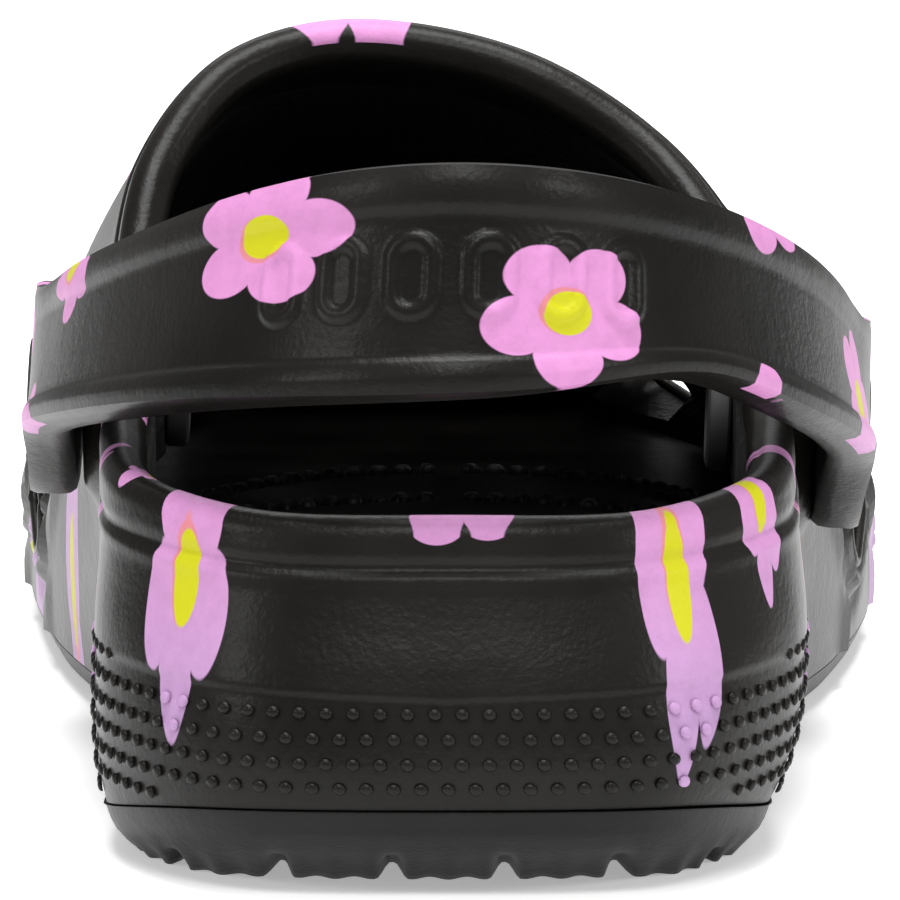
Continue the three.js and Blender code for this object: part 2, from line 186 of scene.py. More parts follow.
# (way round from the middle of the back, height over the strap's middle line, reach along the
# strap, reach up, turn)
STRAP_FLOWERS = (
    (-24.2, 6.4, 12.5, 8.4, 4),
    (11.8, -3.4, 10.0, 8.7, -90),
    (49.0, 15.5, 10.5, 8.7, 30),
    (43.5, -14.8, 7.5, 8.6, 90),
    (-77.0, 9.0, 8.5, 7.0, 50),
    (-90.0, -12.0, 8.0, 8.0, 20),
    (84.0, -4.0, 9.0, 9.5, 70),
    (-112.0, 4.0, 8.5, 8.5, 0),
    (114.0, 4.0, 8.5, 8.5, 40),
)
PRINT_SPREAD = 0.2
FAR_PRINT = 9.0  # print coordinates well outside any flower


# --- shapes -----------------------------------------------------------------------------------


def lerp(a, b, t):
    return a + (b - a) * t


def smoothstep(x, low, high):
    t = np.clip((x - low) / (high - low), 0, 1)
    return t * t * (3 - 2 * t)


def bump_at(x, centre, width):
    """A bell of height 1 round centre."""
    return np.exp(-(((x - centre) / width) ** 2))


def ridge(x, height, centre, width):
    """A raised line, or a groove where its height is below 0."""
    return height * bump_at(x, centre, width)


def half_width(y):
    return lerp(HEEL_WIDTH, BALL_WIDTH, smoothstep(y / LENGTH, 0.22, 0.58)) / 2


def toe_lift(y):
    return TOE_SPRING * smoothstep(y / LENGTH, 0.68, 1.04) ** 1.2 * 1.1


def heel_lift(y):
    return HEEL_SPRING * (1 - smoothstep(y, -0.5 * HEEL_ROLL, 2.8 * HEEL_ROLL))


def parting_height(y):
    return TREAD_DEPTH + toe_lift(y) + heel_lift(y)


def floor_height(y):
    return lerp(FLOOR_HEEL, FLOOR_BALL, smoothstep(y / LENGTH, 0.2, 0.6)) + 0.4 * toe_lift(y)


def foot_points():
    along = STATIONS[:, 1] * LENGTH
    return np.column_stack([STATIONS[:, 0] * half_width(along), along, parting_height(along)])


def collar_points():
    rise = lerp(HEEL_HEIGHT - WALL / 2, INSTEP_HEIGHT, STATIONS[:, 4])
    return np.column_stack([STATIONS[:, 2] * HEEL_WIDTH / 2, STATIONS[:, 3] * LENGTH, rise])


FOOT, COLLAR = foot_points(), collar_points()


def closed_curve(points, u):
    """Points at shares u of the way round a closed centripetal Catmull-Rom curve."""
    count = len(points)
    place = count * (np.asarray(u, float) % 1.0)
    index = np.floor(place).astype(int)
    t = (place - index)[..., None]
    p0, p1, p2, p3 = (points[(index + k) % count] for k in (-1, 0, 1, 2))
    d0, d1, d2 = (
        np.sqrt(np.linalg.norm(b - a, axis=-1, keepdims=True))
        for a, b in ((p0, p1), (p1, p2), (p2, p3))
    )
    t1 = ((p1 - p0) / d0 - (p2 - p0) / (d0 + d1) + (p2 - p1) / d1) * d1
    t2 = ((p2 - p1) / d1 - (p3 - p1) / (d1 + d2) + (p3 - p2) / d2) * d1
    return p1 + t1 * t + (-3 * p1 + 3 * p2 - 2 * t1 - t2) * t**2 + (2 * p1 - 2 * p2 + t1 + t2) * t**3


def unit(vectors):
    return vectors / np.maximum(np.linalg.norm(vectors, axis=-1, keepdims=True), 1e-12)


def foot_edge(u):
    points = closed_curve(FOOT, u)
    points[..., 2] = parting_height(points[..., 1])
    return points


def foot_outward(u):
    along = unit(closed_curve(FOOT, u + 1e-4) - closed_curve(FOOT, u - 1e-4))
    return unit(np.stack([along[..., 1], -along[..., 0], 0 * along[..., 0]], axis=-1))


def outer_skin(u, v):
    """The moulding's outside: u goes round, v from the parting line up to the collar."""
    foot, edge, outward = foot_edge(u), closed_curve(COLLAR, u), foot_outward(u)
    height = edge[..., 2] - foot[..., 2]
    back = foot - edge
    back[..., 2] = 0
    length = np.linalg.norm(back, axis=-1)
    domed = np.clip(length / (0.21 * LENGTH), 0, 1)
    ahead = smoothstep(back[..., 1] / length, 0.6, 1)
    shoulder = foot + outward * (SIDE_BULGE * (2 - domed))[..., None]
    shoulder[..., 2] += lerp(0.3, 0.46, ahead * domed) * height
    reach = lerp(0.4, 0.6, ahead)
    crown = edge + back * reach[..., None]
    crown[..., 0] = lerp(edge[..., 0], crown[..., 0], SIDE_TAPER)
    crown[..., 2] -= lerp(0.85, 0.28, ahead) * reach * length + 0.33 * (1 - domed) * height
    flare = HEEL_FLARE * np.clip(outward[..., 0], 0, 1)
    flare = (flare * (1 - smoothstep(foot[..., 1] / LENGTH, 0.15, 0.32)))[..., None]
    shoulder = shoulder + outward * flare
    crown = crown + outward * flare * 0.6
    t = v[..., None]
    ends = (1 - t) ** 3 * foot + t**3 * edge
    return ends + 3 * (1 - t) ** 2 * t * shoulder + 3 * (1 - t) * t**2 * crown


def skin_frame(u, v):
    """Point, upward direction and outward normal of the outside."""
    step = 1e-3
    low, high = np.clip(v - step, 0, 1), np.clip(v + step, 0, 1)
    up = unit(outer_skin(u, high) - outer_skin(u, low))
    around = outer_skin(u + step, v) - outer_skin(u - step, v)
    return outer_skin(u, v), up, unit(np.cross(around, up))


def pivot_line_height(x):
    return PIVOT_HEIGHT - x * PIVOT_DROP / (2 * BOSS_FACE)


def seat_bosses(points, radius, fade, face):
    """Draws the skin out or in to a flat round pad at each rivet."""
    x, y, z = points[..., 0], points[..., 1], points[..., 2]
    away = np.hypot(y - PIVOT_Y, z - pivot_line_height(x))
    weight = 1 - smoothstep(away, radius, radius + fade)
    points[..., 0] = np.where(z > 0, lerp(x, np.sign(x) * face, weight), x)
    return points


# --- meshes -----------------------------------------------------------------------------------

ORIGIN = np.zeros(3)
MERGE_DISTANCE = 1e-6


def sheet(name, rows, closed=True):
    """A grid laid through rows of points; the first and last columns meet when it is closed."""
    rows = np.asarray(rows, float)
    if closed:
        rows = np.concatenate([rows, rows[:, :1]], axis=1)
    down, across = rows.shape[0], rows.shape[1]
    bpy.ops.object.select_all(action="DESELECT")
    bpy.ops.mesh.primitive_grid_add(x_subdivisions=across - 1, y_subdivisions=down - 1, size=1)
    made = bpy.context.active_object
    made.name = name
    made.data.name = name
    made.data.vertices.foreach_set("co", ((rows.reshape(-1, 3) + ORIGIN) * MM).ravel())
    made.data.update()
    return made


def tidy_mesh(obj):
    """Merges doubles and turns all faces outwards."""
    bpy.ops.object.select_all(action="DESELECT")
    bpy.context.view_layer.objects.active = obj
    obj.select_set(True)
    bpy.ops.object.mode_set(mode="EDIT")
    bpy.ops.mesh.select_all(action="SELECT")
    bpy.ops.mesh.remove_doubles(threshold=MERGE_DISTANCE)
    bpy.ops.mesh.dissolve_degenerate(threshold=MERGE_DISTANCE)
    bpy.ops.mesh.select_all(action="SELECT")
    bpy.ops.mesh.normals_make_consistent(inside=False)
    bpy.ops.object.mode_set(mode="OBJECT")
    return obj


def smooth(obj, degrees=40):
    bpy.ops.object.select_all(action="DESELECT")
    bpy.context.view_layer.objects.active = obj
    obj.select_set(True)
    bpy.ops.object.shade_smooth_by_angle(angle=math.radians(degrees))
    return obj


def join(objs):
    bpy.ops.object.select_all(action="DESELECT")
    for obj in objs:
        obj.select_set(True)
    bpy.context.view_layer.objects.active = objs[0]
    bpy.ops.object.join()
    return objs[0]


def apply_modifier(obj, modifier):
    bpy.ops.object.select_all(action="DESELECT")
    bpy.context.view_layer.objects.active = obj
    obj.select_set(True)
    bpy.ops.object.modifier_apply(modifier=modifier.name)


def cut(obj, cutter):
    """Takes the cutter's solid out of obj."""
    hollow = obj.modifiers.new("openings", "BOOLEAN")
    hollow.operation = "DIFFERENCE"
    hollow.solver = "EXACT"
    hollow.object = cutter
    apply_modifier(obj, hollow)
    bpy.data.objects.remove(cutter)


def print_map(obj, coords, centres):
    """Gives every face the flower nearest to it: the map holds places measured from that
    flower's middle, turned to it, with its petals reaching 1. coords has the plan place of each
    vertex, and nan where nothing is printed."""
    mesh = obj.data
    if "print" not in mesh.uv_layers:
        mesh.uv_layers.new(name="print")
    for other in [one.name for one in mesh.uv_layers if one.name != "print"]:
        mesh.uv_layers.remove(mesh.uv_layers[other])
    layer = mesh.uv_layers["print"]
    corners = np.zeros(len(mesh.loops), int)
    mesh.loops.foreach_get("vertex_index", corners)
    starts = np.zeros(len(mesh.polygons), int)
    totals = np.zeros(len(mesh.polygons), int)
    mesh.polygons.foreach_get("loop_start", starts)
    mesh.polygons.foreach_get("loop_total", totals)
    face_of = np.repeat(np.arange(len(starts)), totals)
    places = coords[corners]
    sums = np.zeros((len(starts), 2))
    np.add.at(sums, face_of, places)
    middles = sums / totals[:, None]
    table = np.array(centres, float)
    gap = np.linalg.norm((middles[:, None] - table[None, :, :2]) / table[None, :, 2:4], axis=2)
    near = table[np.argmin(np.where(np.isnan(gap), 1e9, gap), axis=1)][face_of]
    turn = np.radians(near[:, 4])
    local = (places - near[:, :2]) / near[:, 2:4]
    running = smoothstep(near[:, 3] / near[:, 2], 1.5, 3)
    local[:, 0] *= 1 + 0.5 * running * smoothstep(-local[:, 1], 0.55, 1.1)
    turned = np.column_stack([
        local[:, 0] * np.cos(turn) + local[:, 1] * np.sin(turn),
        local[:, 1] * np.cos(turn) - local[:, 0] * np.sin(turn),
    ])
    turned[np.isnan(middles).any(axis=1)[face_of]] = FAR_PRINT
    layer.data.foreach_set("uv", turned.ravel())


def round_flowers(rows):
    return [(x, y, reach, reach, turn) for x, y, reach, turn in rows]


def shell_flowers():
    """Flowers of the whole shell; those of the heel lie in a map of their own, far aside."""
    heel = [(x + HEEL_MAP, y, across, down, turn) for x, y, across, down, turn in HEEL_FLOWERS]
    return round_flowers(BODY_FLOWERS) + heel


def blank_print(obj):
    """Keeps the flowers off a piece that shares the printed finish."""
    mesh = obj.data
    for one in [layer.name for layer in mesh.uv_layers]:
        mesh.uv_layers.remove(mesh.uv_layers[one])
    layer = mesh.uv_layers.new(name="print")
    layer.data.foreach_set("uv", np.full(2 * len(mesh.loops), FAR_PRINT))


def scatter(name, pattern, places, normals, sizes):
    """One mesh of many copies of a small pattern mesh, each standing on its own normal."""
    verts = np.array([v.co for v in pattern.data.vertices], float)
    faces = [list(p.vertices) for p in pattern.data.polygons]
    bpy.data.objects.remove(pattern)
    side = unit(np.cross(normals, np.array([0.31, 0.17, 0.93])))
    other = np.cross(normals, side)
    axes = np.stack([side, other, normals], axis=1)
    scaled = verts[None] * np.asarray(sizes, float)[:, None, :]
    points = np.einsum("nvk,nkc->nvc", scaled, axes) + np.asarray(places)[:, None]
    all_points = (points.reshape(-1, 3) + ORIGIN) * MM
    count = len(verts)
    all_faces = [[i + k * count for i in face] for k in range(len(places)) for face in faces]
    mesh = bpy.data.meshes.new(name)
    mesh.from_pydata(all_points.tolist(), [], all_faces)
    obj = bpy.data.objects.new(name, mesh)
    bpy.context.scene.collection.objects.link(obj)
    return obj


def dome_pattern():
    """The upper part of a ball, radius 1, as the pattern of a small raised dot."""
    bpy.ops.object.select_all(action="DESELECT")
    bpy.ops.mesh.primitive_uv_sphere_add(segments=10, ring_count=6, radius=1)
    made = bpy.context.active_object
    bpy.ops.object.mode_set(mode="EDIT")
    bpy.ops.mesh.select_all(action="SELECT")
    bpy.ops.mesh.bisect(plane_co=(0, 0, -0.25), plane_no=(0, 0, 1), clear_inner=True, use_fill=True)
    bpy.ops.object.mode_set(mode="OBJECT")
    return made


# --- finishes ---------------------------------------------------------------------------------


class Nodes:
    """Short ways to add and link shader nodes."""

    def __init__(self, name):
        self.material = bpy.data.materials.new(name)
        self.material.use_nodes = True
        self.tree = self.material.node_tree
        self.shader = self.tree.nodes["Principled BSDF"]

    def add(self, kind, **settings):
        made = self.tree.nodes.new(kind)
        for key, value in settings.items():
            setattr(made, key, value)
        return made

    def link(self, source, target):
        self.tree.links.new(source, target)

    def math(self, operation, *values, clamp=False):
        made = self.add("ShaderNodeMath", operation=operation, use_clamp=clamp)
        for slot, value in zip(made.inputs, values):
            if isinstance(value, (int, float)):
                slot.default_value = value
            else:
                self.link(value, slot)
        return made.outputs[0]

    def length(self, x, y):
        """Distance of the place (x, y) from the middle."""
        squares = [self.math("MULTIPLY", part, part) for part in (x, y)]
        return self.math("SQRT", self.math("ADD", *squares))

    def edge(self, value, low, high):
        """0 below low and 1 above high, or the other way round."""
        made = self.add("ShaderNodeMapRange", clamp=True)
        self.link(value, made.inputs[0])
        made.inputs[1].default_value, made.inputs[2].default_value = low, high
        return made.outputs[0]

    def mix(self, share, first, second):
        made = self.add("ShaderNodeMix", data_type="RGBA")
        for slot, value in ((0, share), (6, first), (7, second)):
            if isinstance(value, (int, float, tuple, list)):
                made.inputs[slot].default_value = value
            else:
                self.link(value, made.inputs[slot])
        return made.outputs[2]

    def noise(self, vector, scale, detail=2.0, roughness=0.5):
        made = self.add("ShaderNodeTexNoise")
        made.inputs["Scale"].default_value = scale
        made.inputs["Detail"].default_value = detail
        made.inputs["Roughness"].default_value = roughness
        self.link(vector, made.inputs["Vector"])
        return made.outputs["Fac"]

    def bump(self, height, distance, strength=1.0, after=None):
        made = self.add("ShaderNodeBump")
        made.inputs["Distance"].default_value = distance
        made.inputs["Strength"].default_value = strength
        self.link(height, made.inputs["Height"])
        if after is not None:
            self.link(after, made.inputs["Normal"])
        return made.outputs[0]


def rgba(colour):
    return (*colour, 1.0)


def flower_masks(nodes, place):
    """Petals, middle and the thin ring beside it, from places measured from a flower's middle."""
    grain = nodes.add("ShaderNodeTexNoise")
    grain.inputs["Scale"].default_value = 55
    grain.inputs["Detail"].default_value = 1
    nodes.link(place, grain.inputs["Vector"])
    wander = nodes.add("ShaderNodeVectorMath", operation="MULTIPLY_ADD")
    uv = nodes.add("ShaderNodeUVMap", uv_map="print").outputs[0]
    nodes.link(grain.outputs["Color"], wander.inputs[0])
    wander.inputs[1].default_value = (0.07, 0.07, 0)
    nodes.link(uv, wander.inputs[2])
    shifted = nodes.add("ShaderNodeVectorMath", operation="SUBTRACT")
    nodes.link(wander.outputs[0], shifted.inputs[0])
    shifted.inputs[1].default_value = (0.035, 0.035, 0)
    parts = nodes.add("ShaderNodeSeparateXYZ")
    nodes.link(shifted.outputs[0], parts.inputs[0])
    x, y = parts.outputs[0], parts.outputs[1]
    away = nodes.length(x, y)
    turn = nodes.math("ARCTAN2", y, x)
    petal = 2 * math.pi / 5
    folded = nodes.math("PINGPONG", nodes.math("ADD", turn, 5 * petal), petal / 2)
    along = nodes.math("MULTIPLY", away, nodes.math("COSINE", folded))
    beside = nodes.math("MULTIPLY", away, nodes.math("SINE", folded))
    reach = nodes.math("SUBTRACT", along, 0.6)
    lobe = nodes.length(reach, beside)
    lobe_mask = nodes.edge(lobe, 0.405, 0.385)
    heart_mask = nodes.edge(away, 0.5, 0.48)
    petals = nodes.math("MAXIMUM", lobe_mask, heart_mask)
    middle = nodes.edge(away, 0.3, 0.28)
    off = nodes.length(nodes.math("ADD", x, 0.03), nodes.math("ADD", y, 0.035))
    ring = nodes.edge(off, 0.325, 0.305)
    return petals, middle, ring


def foam_finish(name, settings, foam, printed=True, grain_depth=0.00016, roughness=0.36):
    """Satin moulded foam, with the flowers where the piece's print map has them."""
    nodes = Nodes(name)
    place = nodes.add("ShaderNodeTexCoord").outputs["Object"]
    cloud = nodes.noise(place, 45, 3)
    speck = nodes.noise(place, 1400, 2)
    pore = nodes.noise(place, 420, 3, 0.6)
    dark = tuple(0.72 * part for part in foam)
    light = tuple(1.45 * part for part in foam)
    colour = nodes.mix(nodes.edge(cloud, 0.35, 0.7), rgba(dark), rgba(light))
    rough = nodes.math("ADD", nodes.math("MULTIPLY", cloud, 0.12), roughness - 0.06)
    if printed:
        petals, middle, ring = flower_masks(nodes, place)
        height = nodes.add("ShaderNodeSeparateXYZ")
        nodes.link(place, height.inputs[0])
        low = nodes.edge(height.outputs[2], 0.05, 0.02)
        pink = nodes.mix(low, rgba(settings.petal), rgba(settings.petal_low))
        mottled = nodes.mix(nodes.math("MULTIPLY", nodes.edge(pore, 0.4, 0.75), 0.12), pink, rgba(foam))
        flower = nodes.mix(ring, mottled, rgba(settings.ring))
        flower = nodes.mix(middle, flower, rgba(settings.middle))
        colour = nodes.mix(petals, colour, flower)
        rough = nodes.math("ADD", rough, nodes.math("MULTIPLY", petals, 0.08))
    nodes.link(colour, nodes.shader.inputs["Base Color"])
    nodes.link(rough, nodes.shader.inputs["Roughness"])
    nodes.shader.inputs["Specular IOR Level"].default_value = 0.13
    fine = nodes.bump(speck, grain_depth, 0.35)
    coarse = nodes.bump(pore, grain_depth * 1.6, 0.3, fine)
    soft = nodes.bump(cloud, 0.0012, 0.25, coarse)
    nodes.link(soft, nodes.shader.inputs["Normal"])
    return nodes.material


def scaled_finish(settings):
    """The inside of the upper, with rows of small arcs pressed into the foam."""
    nodes = Nodes("foam_inside")
    place = nodes.add("ShaderNodeTexCoord").outputs["Object"]
    parts = nodes.add("ShaderNodeSeparateXYZ")
    nodes.link(place, parts.inputs[0])
    pitch_x, pitch_y = 0.0042, 0.0034
    row = nodes.math("DIVIDE", parts.outputs[1], pitch_y)
    odd = nodes.math("MULTIPLY", nodes.math("FLOOR", row), 0.5)
    column = nodes.math("ADD", nodes.math("DIVIDE", parts.outputs[0], pitch_x), odd)
    across = nodes.math("SUBTRACT", nodes.math("FRACT", column), 0.5)
    down = nodes.math("FRACT", row)
    radius = nodes.length(across, down)
    from_arc = nodes.math("ABSOLUTE", nodes.math("SUBTRACT", radius, 0.46))
    arc = nodes.math("SUBTRACT", 1, nodes.edge(from_arc, 0.05, 0.22))
    cloud = nodes.noise(place, 60, 3)
    dark = tuple(0.6 * part for part in settings.foam)
    shade = nodes.mix(nodes.edge(cloud, 0.3, 0.7), rgba(dark), rgba(settings.foam))
    nodes.link(shade, nodes.shader.inputs["Base Color"])
    nodes.link(nodes.math("ADD", nodes.math("MULTIPLY", cloud, 0.1), 0.5), nodes.shader.inputs["Roughness"])
    grain = nodes.bump(nodes.noise(place, 1300, 2), 0.00015, 0.4)
    nodes.link(nodes.bump(arc, 0.0009, 0.7, grain), nodes.shader.inputs["Normal"])
    return nodes.material


def plastic_finish(settings):
    """Smooth moulded plastic with fine turning marks and handling haze."""
    nodes = Nodes("rivet_plastic")
    place = nodes.add("ShaderNodeTexCoord").outputs["Object"]
    haze = nodes.noise(place, 180, 4, 0.6)
    grain = nodes.noise(place, 2600, 2)
    dark = tuple(0.7 * part for part in settings.rivet)
    light = tuple(1.6 * part for part in settings.rivet)
    nodes.link(nodes.mix(haze, rgba(dark), rgba(light)), nodes.shader.inputs["Base Color"])
    nodes.link(nodes.math("ADD", nodes.math("MULTIPLY", haze, 0.2), 0.24), nodes.shader.inputs["Roughness"])
    nodes.link(nodes.bump(grain, 0.00006, 0.5), nodes.shader.inputs["Normal"])
    return nodes.material


def finish_of(name, maker):
    return bpy.data.materials.get(name) or maker()


def foam_material(settings):
    return finish_of("printed_foam", lambda: foam_finish("printed_foam", settings, settings.foam))


def tread_foam_with_painted_bounce_material(settings):
    # The same foam as the shell; its cooler, neutral tint is painted bounce light from the pale floor below
    return finish_of(
        "tread_foam",
        lambda: foam_finish("tread_foam", settings, settings.tread, printed=False, roughness=0.4),
    )


# --- the pieces -------------------------------------------------------------------------------

CENTRE = np.array([0.0, LENGTH / 2, 0.0])
AROUND = 400  # columns of faces round the shell
RIM_TURNS = np.linspace(0, math.pi, 15)[1:-1]
RIM_PRINT_ROWS = 8  # rows of the collar's edge that carry the forefoot's flowers
INNER_ROWS = 44  # rows of the lining
FLOOR_FILLET = 4.5
FLOOR_FILLET_SHARE = 0.075  # of the way from the lining's foot to the middle
LINING_START = 3  # rows inside the collar before its scaled lining starts
DOT_ROWS = 7
DOT_TOP = 22.6  # height of the highest dots at the back of the heel
DOT_SIZE = (0.85, 0.72, 0.42)
NUB_SIZE = (1.6, 1.6, 1.3)
DOT_SINK = 0.1  # how deep each dot or nub stands in the foam
TREAD_COLUMNS = 1080
TEETH = 3  # small waves on each pad of the tread's edge
LUG_SHARE = 0.86  # the lugs' field, as a share of the way from the middle to the edge
PAD_SHARES = (0.9, 0.985)  # the pads' bottom, as shares of the same way
ARCH = (96, 132)  # no lugs stand between these lengths
TURNED_SIDES = 72  # sides of each turned rivet
HEEL_COLUMNS, HEEL_STEPS = 901, 181  # how finely the heel's wall is measured for its dots


def settings_of(context):
    return context.scene.clog_settings


def dress(obj, body, material=None):
    if material is not None:
        obj.data.materials.clear()
        obj.data.materials.append(material)
    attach(obj, body)
    return obj


def going_round(count=AROUND):
    return np.arange(count) / count


def rows_below(u, distances, share_rows):
    """Values of v for rows at set distances below the collar, then evenly down to the joint."""
    fine = np.linspace(0, 1, 161)
    table = np.stack([outer_skin(u, np.full(len(u), v)) for v in fine[::-1]])
    steps = np.linalg.norm(np.diff(table, axis=0), axis=-1)
    down = np.concatenate([np.zeros((1, len(u))), np.cumsum(steps, axis=0)])
    last = distances[-1]
    rest = np.linspace(0, 1, share_rows + 1)[1:]
    made, found = [], []
    for column in range(len(u)):
        total = down[-1, column]
        wanted = np.concatenate([distances, last + (total - last) * rest])
        made.append(np.interp(wanted, down[:, column], fine[::-1]))
        found.append(wanted)
    return np.array(made).T, np.array(found).T


def port_frames():
    """Middle, sideways, up and outward direction of each drain port."""
    frames = []
    for u in PORTS:
        v = np.linspace(0, 1, 201)
        column = outer_skin(np.full(len(v), u), v)
        high = column[:, 2] >= floor_height(column[:, 1]) + PORT_ABOVE_FLOOR
        at = v[np.argmax(high)]
        point, up, normal = skin_frame(np.array([u]), np.array([at]))
        side = unit(np.cross(up[0], normal[0]))
        frames.append((point[0], side, up[0], normal[0]))
    return frames


def stadium_distance(across, height):
    flat = (PORT_LENGTH - PORT_HEIGHT) / 2
    return np.hypot(np.maximum(np.abs(across) - flat, 0), height) - PORT_HEIGHT / 2


def port_relief(points, frames):
    """A raised lip round each port and upright folds between the ports."""
    relief = np.zeros(points.shape[:-1])
    for middle, side, up, normal in frames:
        offset = points - middle
        across, height, deep = offset @ side, offset @ up, offset @ normal
        near = np.abs(deep) < 14
        gap = stadium_distance(across, height)
        ring = ridge(gap, *PORT_LIP) + ridge(gap, *PORT_DIP)
        fold = ridge(np.abs(across) - 0.25 * np.abs(height), *PORT_FOLD)
        fade = 1 - smoothstep(np.abs(height), 11, 19)
        relief += np.where(near, ring + fold * fade, 0)
    return relief


def outer_relief(points, below, frames):
    """How far the moulding's outside stands proud, in millimetres, for its lines and folds."""
    heel = 1 - smoothstep(points[..., 1] / LENGTH, 0.28, 0.4)
    crease = ridge(below, *COLLAR_CREASE) + ridge(below, *COLLAR_BEAD)
    line = -0.3 * smoothstep(below, 3.0, 4.0) * (1 - smoothstep(below, 9.0, 16.0))
    band_top = BAND_TOP + 0.035 * np.abs(points[..., 0])
    ledge = -0.35 * smoothstep(-points[..., 2], -band_top - 0.5, -band_top + 0.5) * heel
    return crease + 0.6 * line * heel + ledge + port_relief(points, frames)


def outer_rows(u):
    """The outside from the collar down to the parting line: the plain skin, the skin with its
    lines and folds, and how far each place lies below the collar."""
    v, below = rows_below(u, np.arange(0, 10.1, 0.5), 64)
    plain, _, normal = skin_frame(np.broadcast_to(u, v.shape), v)
    proud = outer_relief(plain, below, port_frames()) * smoothstep(below, -1, 1)
    made = seat_bosses(plain + normal * proud[..., None], BOSS_RADIUS, 3.4, BOSS_FACE)
    return plain, made, below


def base_rows(u):
    """The underside, from the middle out, hidden by the tread."""
    base = []
    for share in (0.0, 0.3, 0.65, 0.9):
        row = lerp(CENTRE, foot_edge(u), share)
        row[:, 2] = parting_height(row[:, 1])
        base.append(row)
    return np.array(base)


def rim_rows(u):
    """The collar's round edge, from the outside over to the lining, with a fine line on top."""
    lip, rise, face = skin_frame(u, np.ones(len(u)))
    rim = []
    for turn in RIM_TURNS:
        row = lip + face * (WALL / 2) * (math.cos(turn) - 1) + rise * (WALL / 2) * math.sin(turn)
        row += (face * math.cos(turn) + rise * math.sin(turn)) * ridge(turn, -0.22, 2.0, 0.18)
        rim.append(row)
    return np.array(rim)


def inner_rows(u):
    """The lining, from the collar down to where the footbed's fillet starts."""

    def lining(height):
        at, _, out = skin_frame(u, height)
        return at - out * WALL

    low = np.zeros(len(u))
    high = np.ones(len(u))
    for _ in range(24):
        half = (low + high) / 2
        place = lining(half)
        above = place[:, 2] > floor_height(place[:, 1]) + FLOOR_FILLET
        high, low = np.where(above, half, high), np.where(above, low, half)
    inner = np.array([lining(lerp(high, 1, share)) for share in np.linspace(1, 0, INNER_ROWS)])
    groove = np.linalg.norm(inner - inner[:1], axis=-1)
    _, _, facing = skin_frame(u, np.ones(len(u)))
    inner += facing[None] * ridge(groove, *LINING_GROOVE)[..., None]
    return seat_bosses(inner, CAP_RADIUS + 1, 2.4, BOSS_BACK)


def floor_rows(foot):
    """The footbed, from its fillet at the lining's foot to the middle."""
    over_floor = foot[:, 2] - floor_height(foot[:, 1])
    floor = []
    for turn in np.linspace(0, math.pi / 2, 8)[1:]:
        row = lerp(CENTRE, foot, 1 - FLOOR_FILLET_SHARE * math.sin(turn))
        row[:, 2] = floor_height(row[:, 1]) + over_floor * (1 - math.sin(turn))
        floor.append(row)
    for share in np.linspace(1 - FLOOR_FILLET_SHARE, 0.0, 26)[1:]:
        row = lerp(CENTRE, foot, share)
        row[:, 2] = floor_height(row[:, 1])
        floor.append(row)
    return np.array(floor)


def printed_places(u, plain, below, rim):
    """Places in the flowers' map of the outside, from the parting line up, and of the rim."""
    outward = foot_outward(u)[None, :, :2]
    lip = outer_skin(u, np.ones(len(u)))
    wall = plain[..., :2] + outward * ((INSTEP_HEIGHT - plain[..., 2:]) * PRINT_SPREAD)
    over = rim[..., :2] + outward * PRINT_SPREAD * (INSTEP_HEIGHT - lip[None, :, 2:])
    heel = near_heel(u)
    around = heel_way(u)[heel] + HEEL_MAP
    wall[:, heel, 0] = around
    wall[:, heel, 1] = -below[:, heel]
    over[:, heel, 0] = around
    over[:, heel, 1] = WALL / 2 * (1 - np.cos(RIM_TURNS))[:, None]
    over[RIM_PRINT_ROWS:] = np.where(heel[None, :, None], over[RIM_PRINT_ROWS:], np.nan)
    return np.concatenate([wall, over])


def shell_sheet():
    """All rows of the moulding, from the middle of its base up, over the collar, and down to
    the middle of the footbed; the place of each point in the flowers' map, with nan where
    nothing is printed; and how many rows there are before the lining."""
    u = going_round()
    plain, outer, below = outer_rows(u)
    plain, outer, below = plain[::-1], outer[::-1], below[::-1]
    base, rim, inner = base_rows(u), rim_rows(u), inner_rows(u)
    floor = floor_rows(inner[-1])
    rows = np.concatenate([base, outer, rim, inner, floor])
    plan = np.full((*rows.shape[:2], 2), np.nan)
    split = len(base) + len(outer) + len(rim)
    plan[len(base):split] = printed_places(u, plain, below, rim)
    heel = near_heel(u)
    plan[:, np.flatnonzero(heel != np.roll(heel, 1))] = np.nan
    return rows, plan, split


def near_heel(u):
    return np.minimum(u, 1 - u) < HEEL_SHARE


def heel_way(u):
    """Distance round the heel's wall from the middle of the back, plus on the outer side."""
    fine = np.linspace(-0.3, 0.3, 1201)
    line = outer_skin(fine % 1.0, np.full(len(fine), 0.6))
    run = np.concatenate([[0], np.cumsum(np.linalg.norm(np.diff(line, axis=0), axis=1))])
    run -= run[np.argmin(np.abs(line[:, 0]) + 1e3 * (line[:, 1] > 40))]
    return np.interp(np.where(u > 0.5, u - 1, u), fine, run)


def slot_cutter(middle, side, up, normal):
    """A bar with round ends, standing across the wall."""
    bpy.ops.object.select_all(action="DESELECT")
    bpy.ops.mesh.primitive_cylinder_add(
        vertices=48, radius=PORT_HEIGHT / 2 * MM, depth=4 * WALL * MM
    )
    made = bpy.context.active_object
    flat = (PORT_LENGTH - PORT_HEIGHT) / 2 * MM
    for vertex in made.data.vertices:
        vertex.co.x += math.copysign(flat, vertex.co.x) if abs(vertex.co.x) > 1e-7 else 0
    turn = Matrix((side, up, normal)).transposed().to_4x4()
    made.data.transform(Matrix.Translation(Vector((middle + ORIGIN) * MM)) @ turn)
    return made


def vent_cutter(x, y):
    height = 2 * FLOOR_HEEL
    base = floor_height(y) + PORT_HEIGHT + 2 * PORT_ABOVE_FLOOR
    place = (np.array([x, y, base + height / 2]) + ORIGIN) * MM
    bpy.ops.object.select_all(action="DESELECT")
    bpy.ops.mesh.primitive_cylinder_add(
        vertices=40, radius=VENT_RADIUS * MM, depth=height * MM, location=place
    )
    made = bpy.context.active_object
    made.data.transform(Matrix.Translation(made.location))
    made.location = (0, 0, 0)
    return made


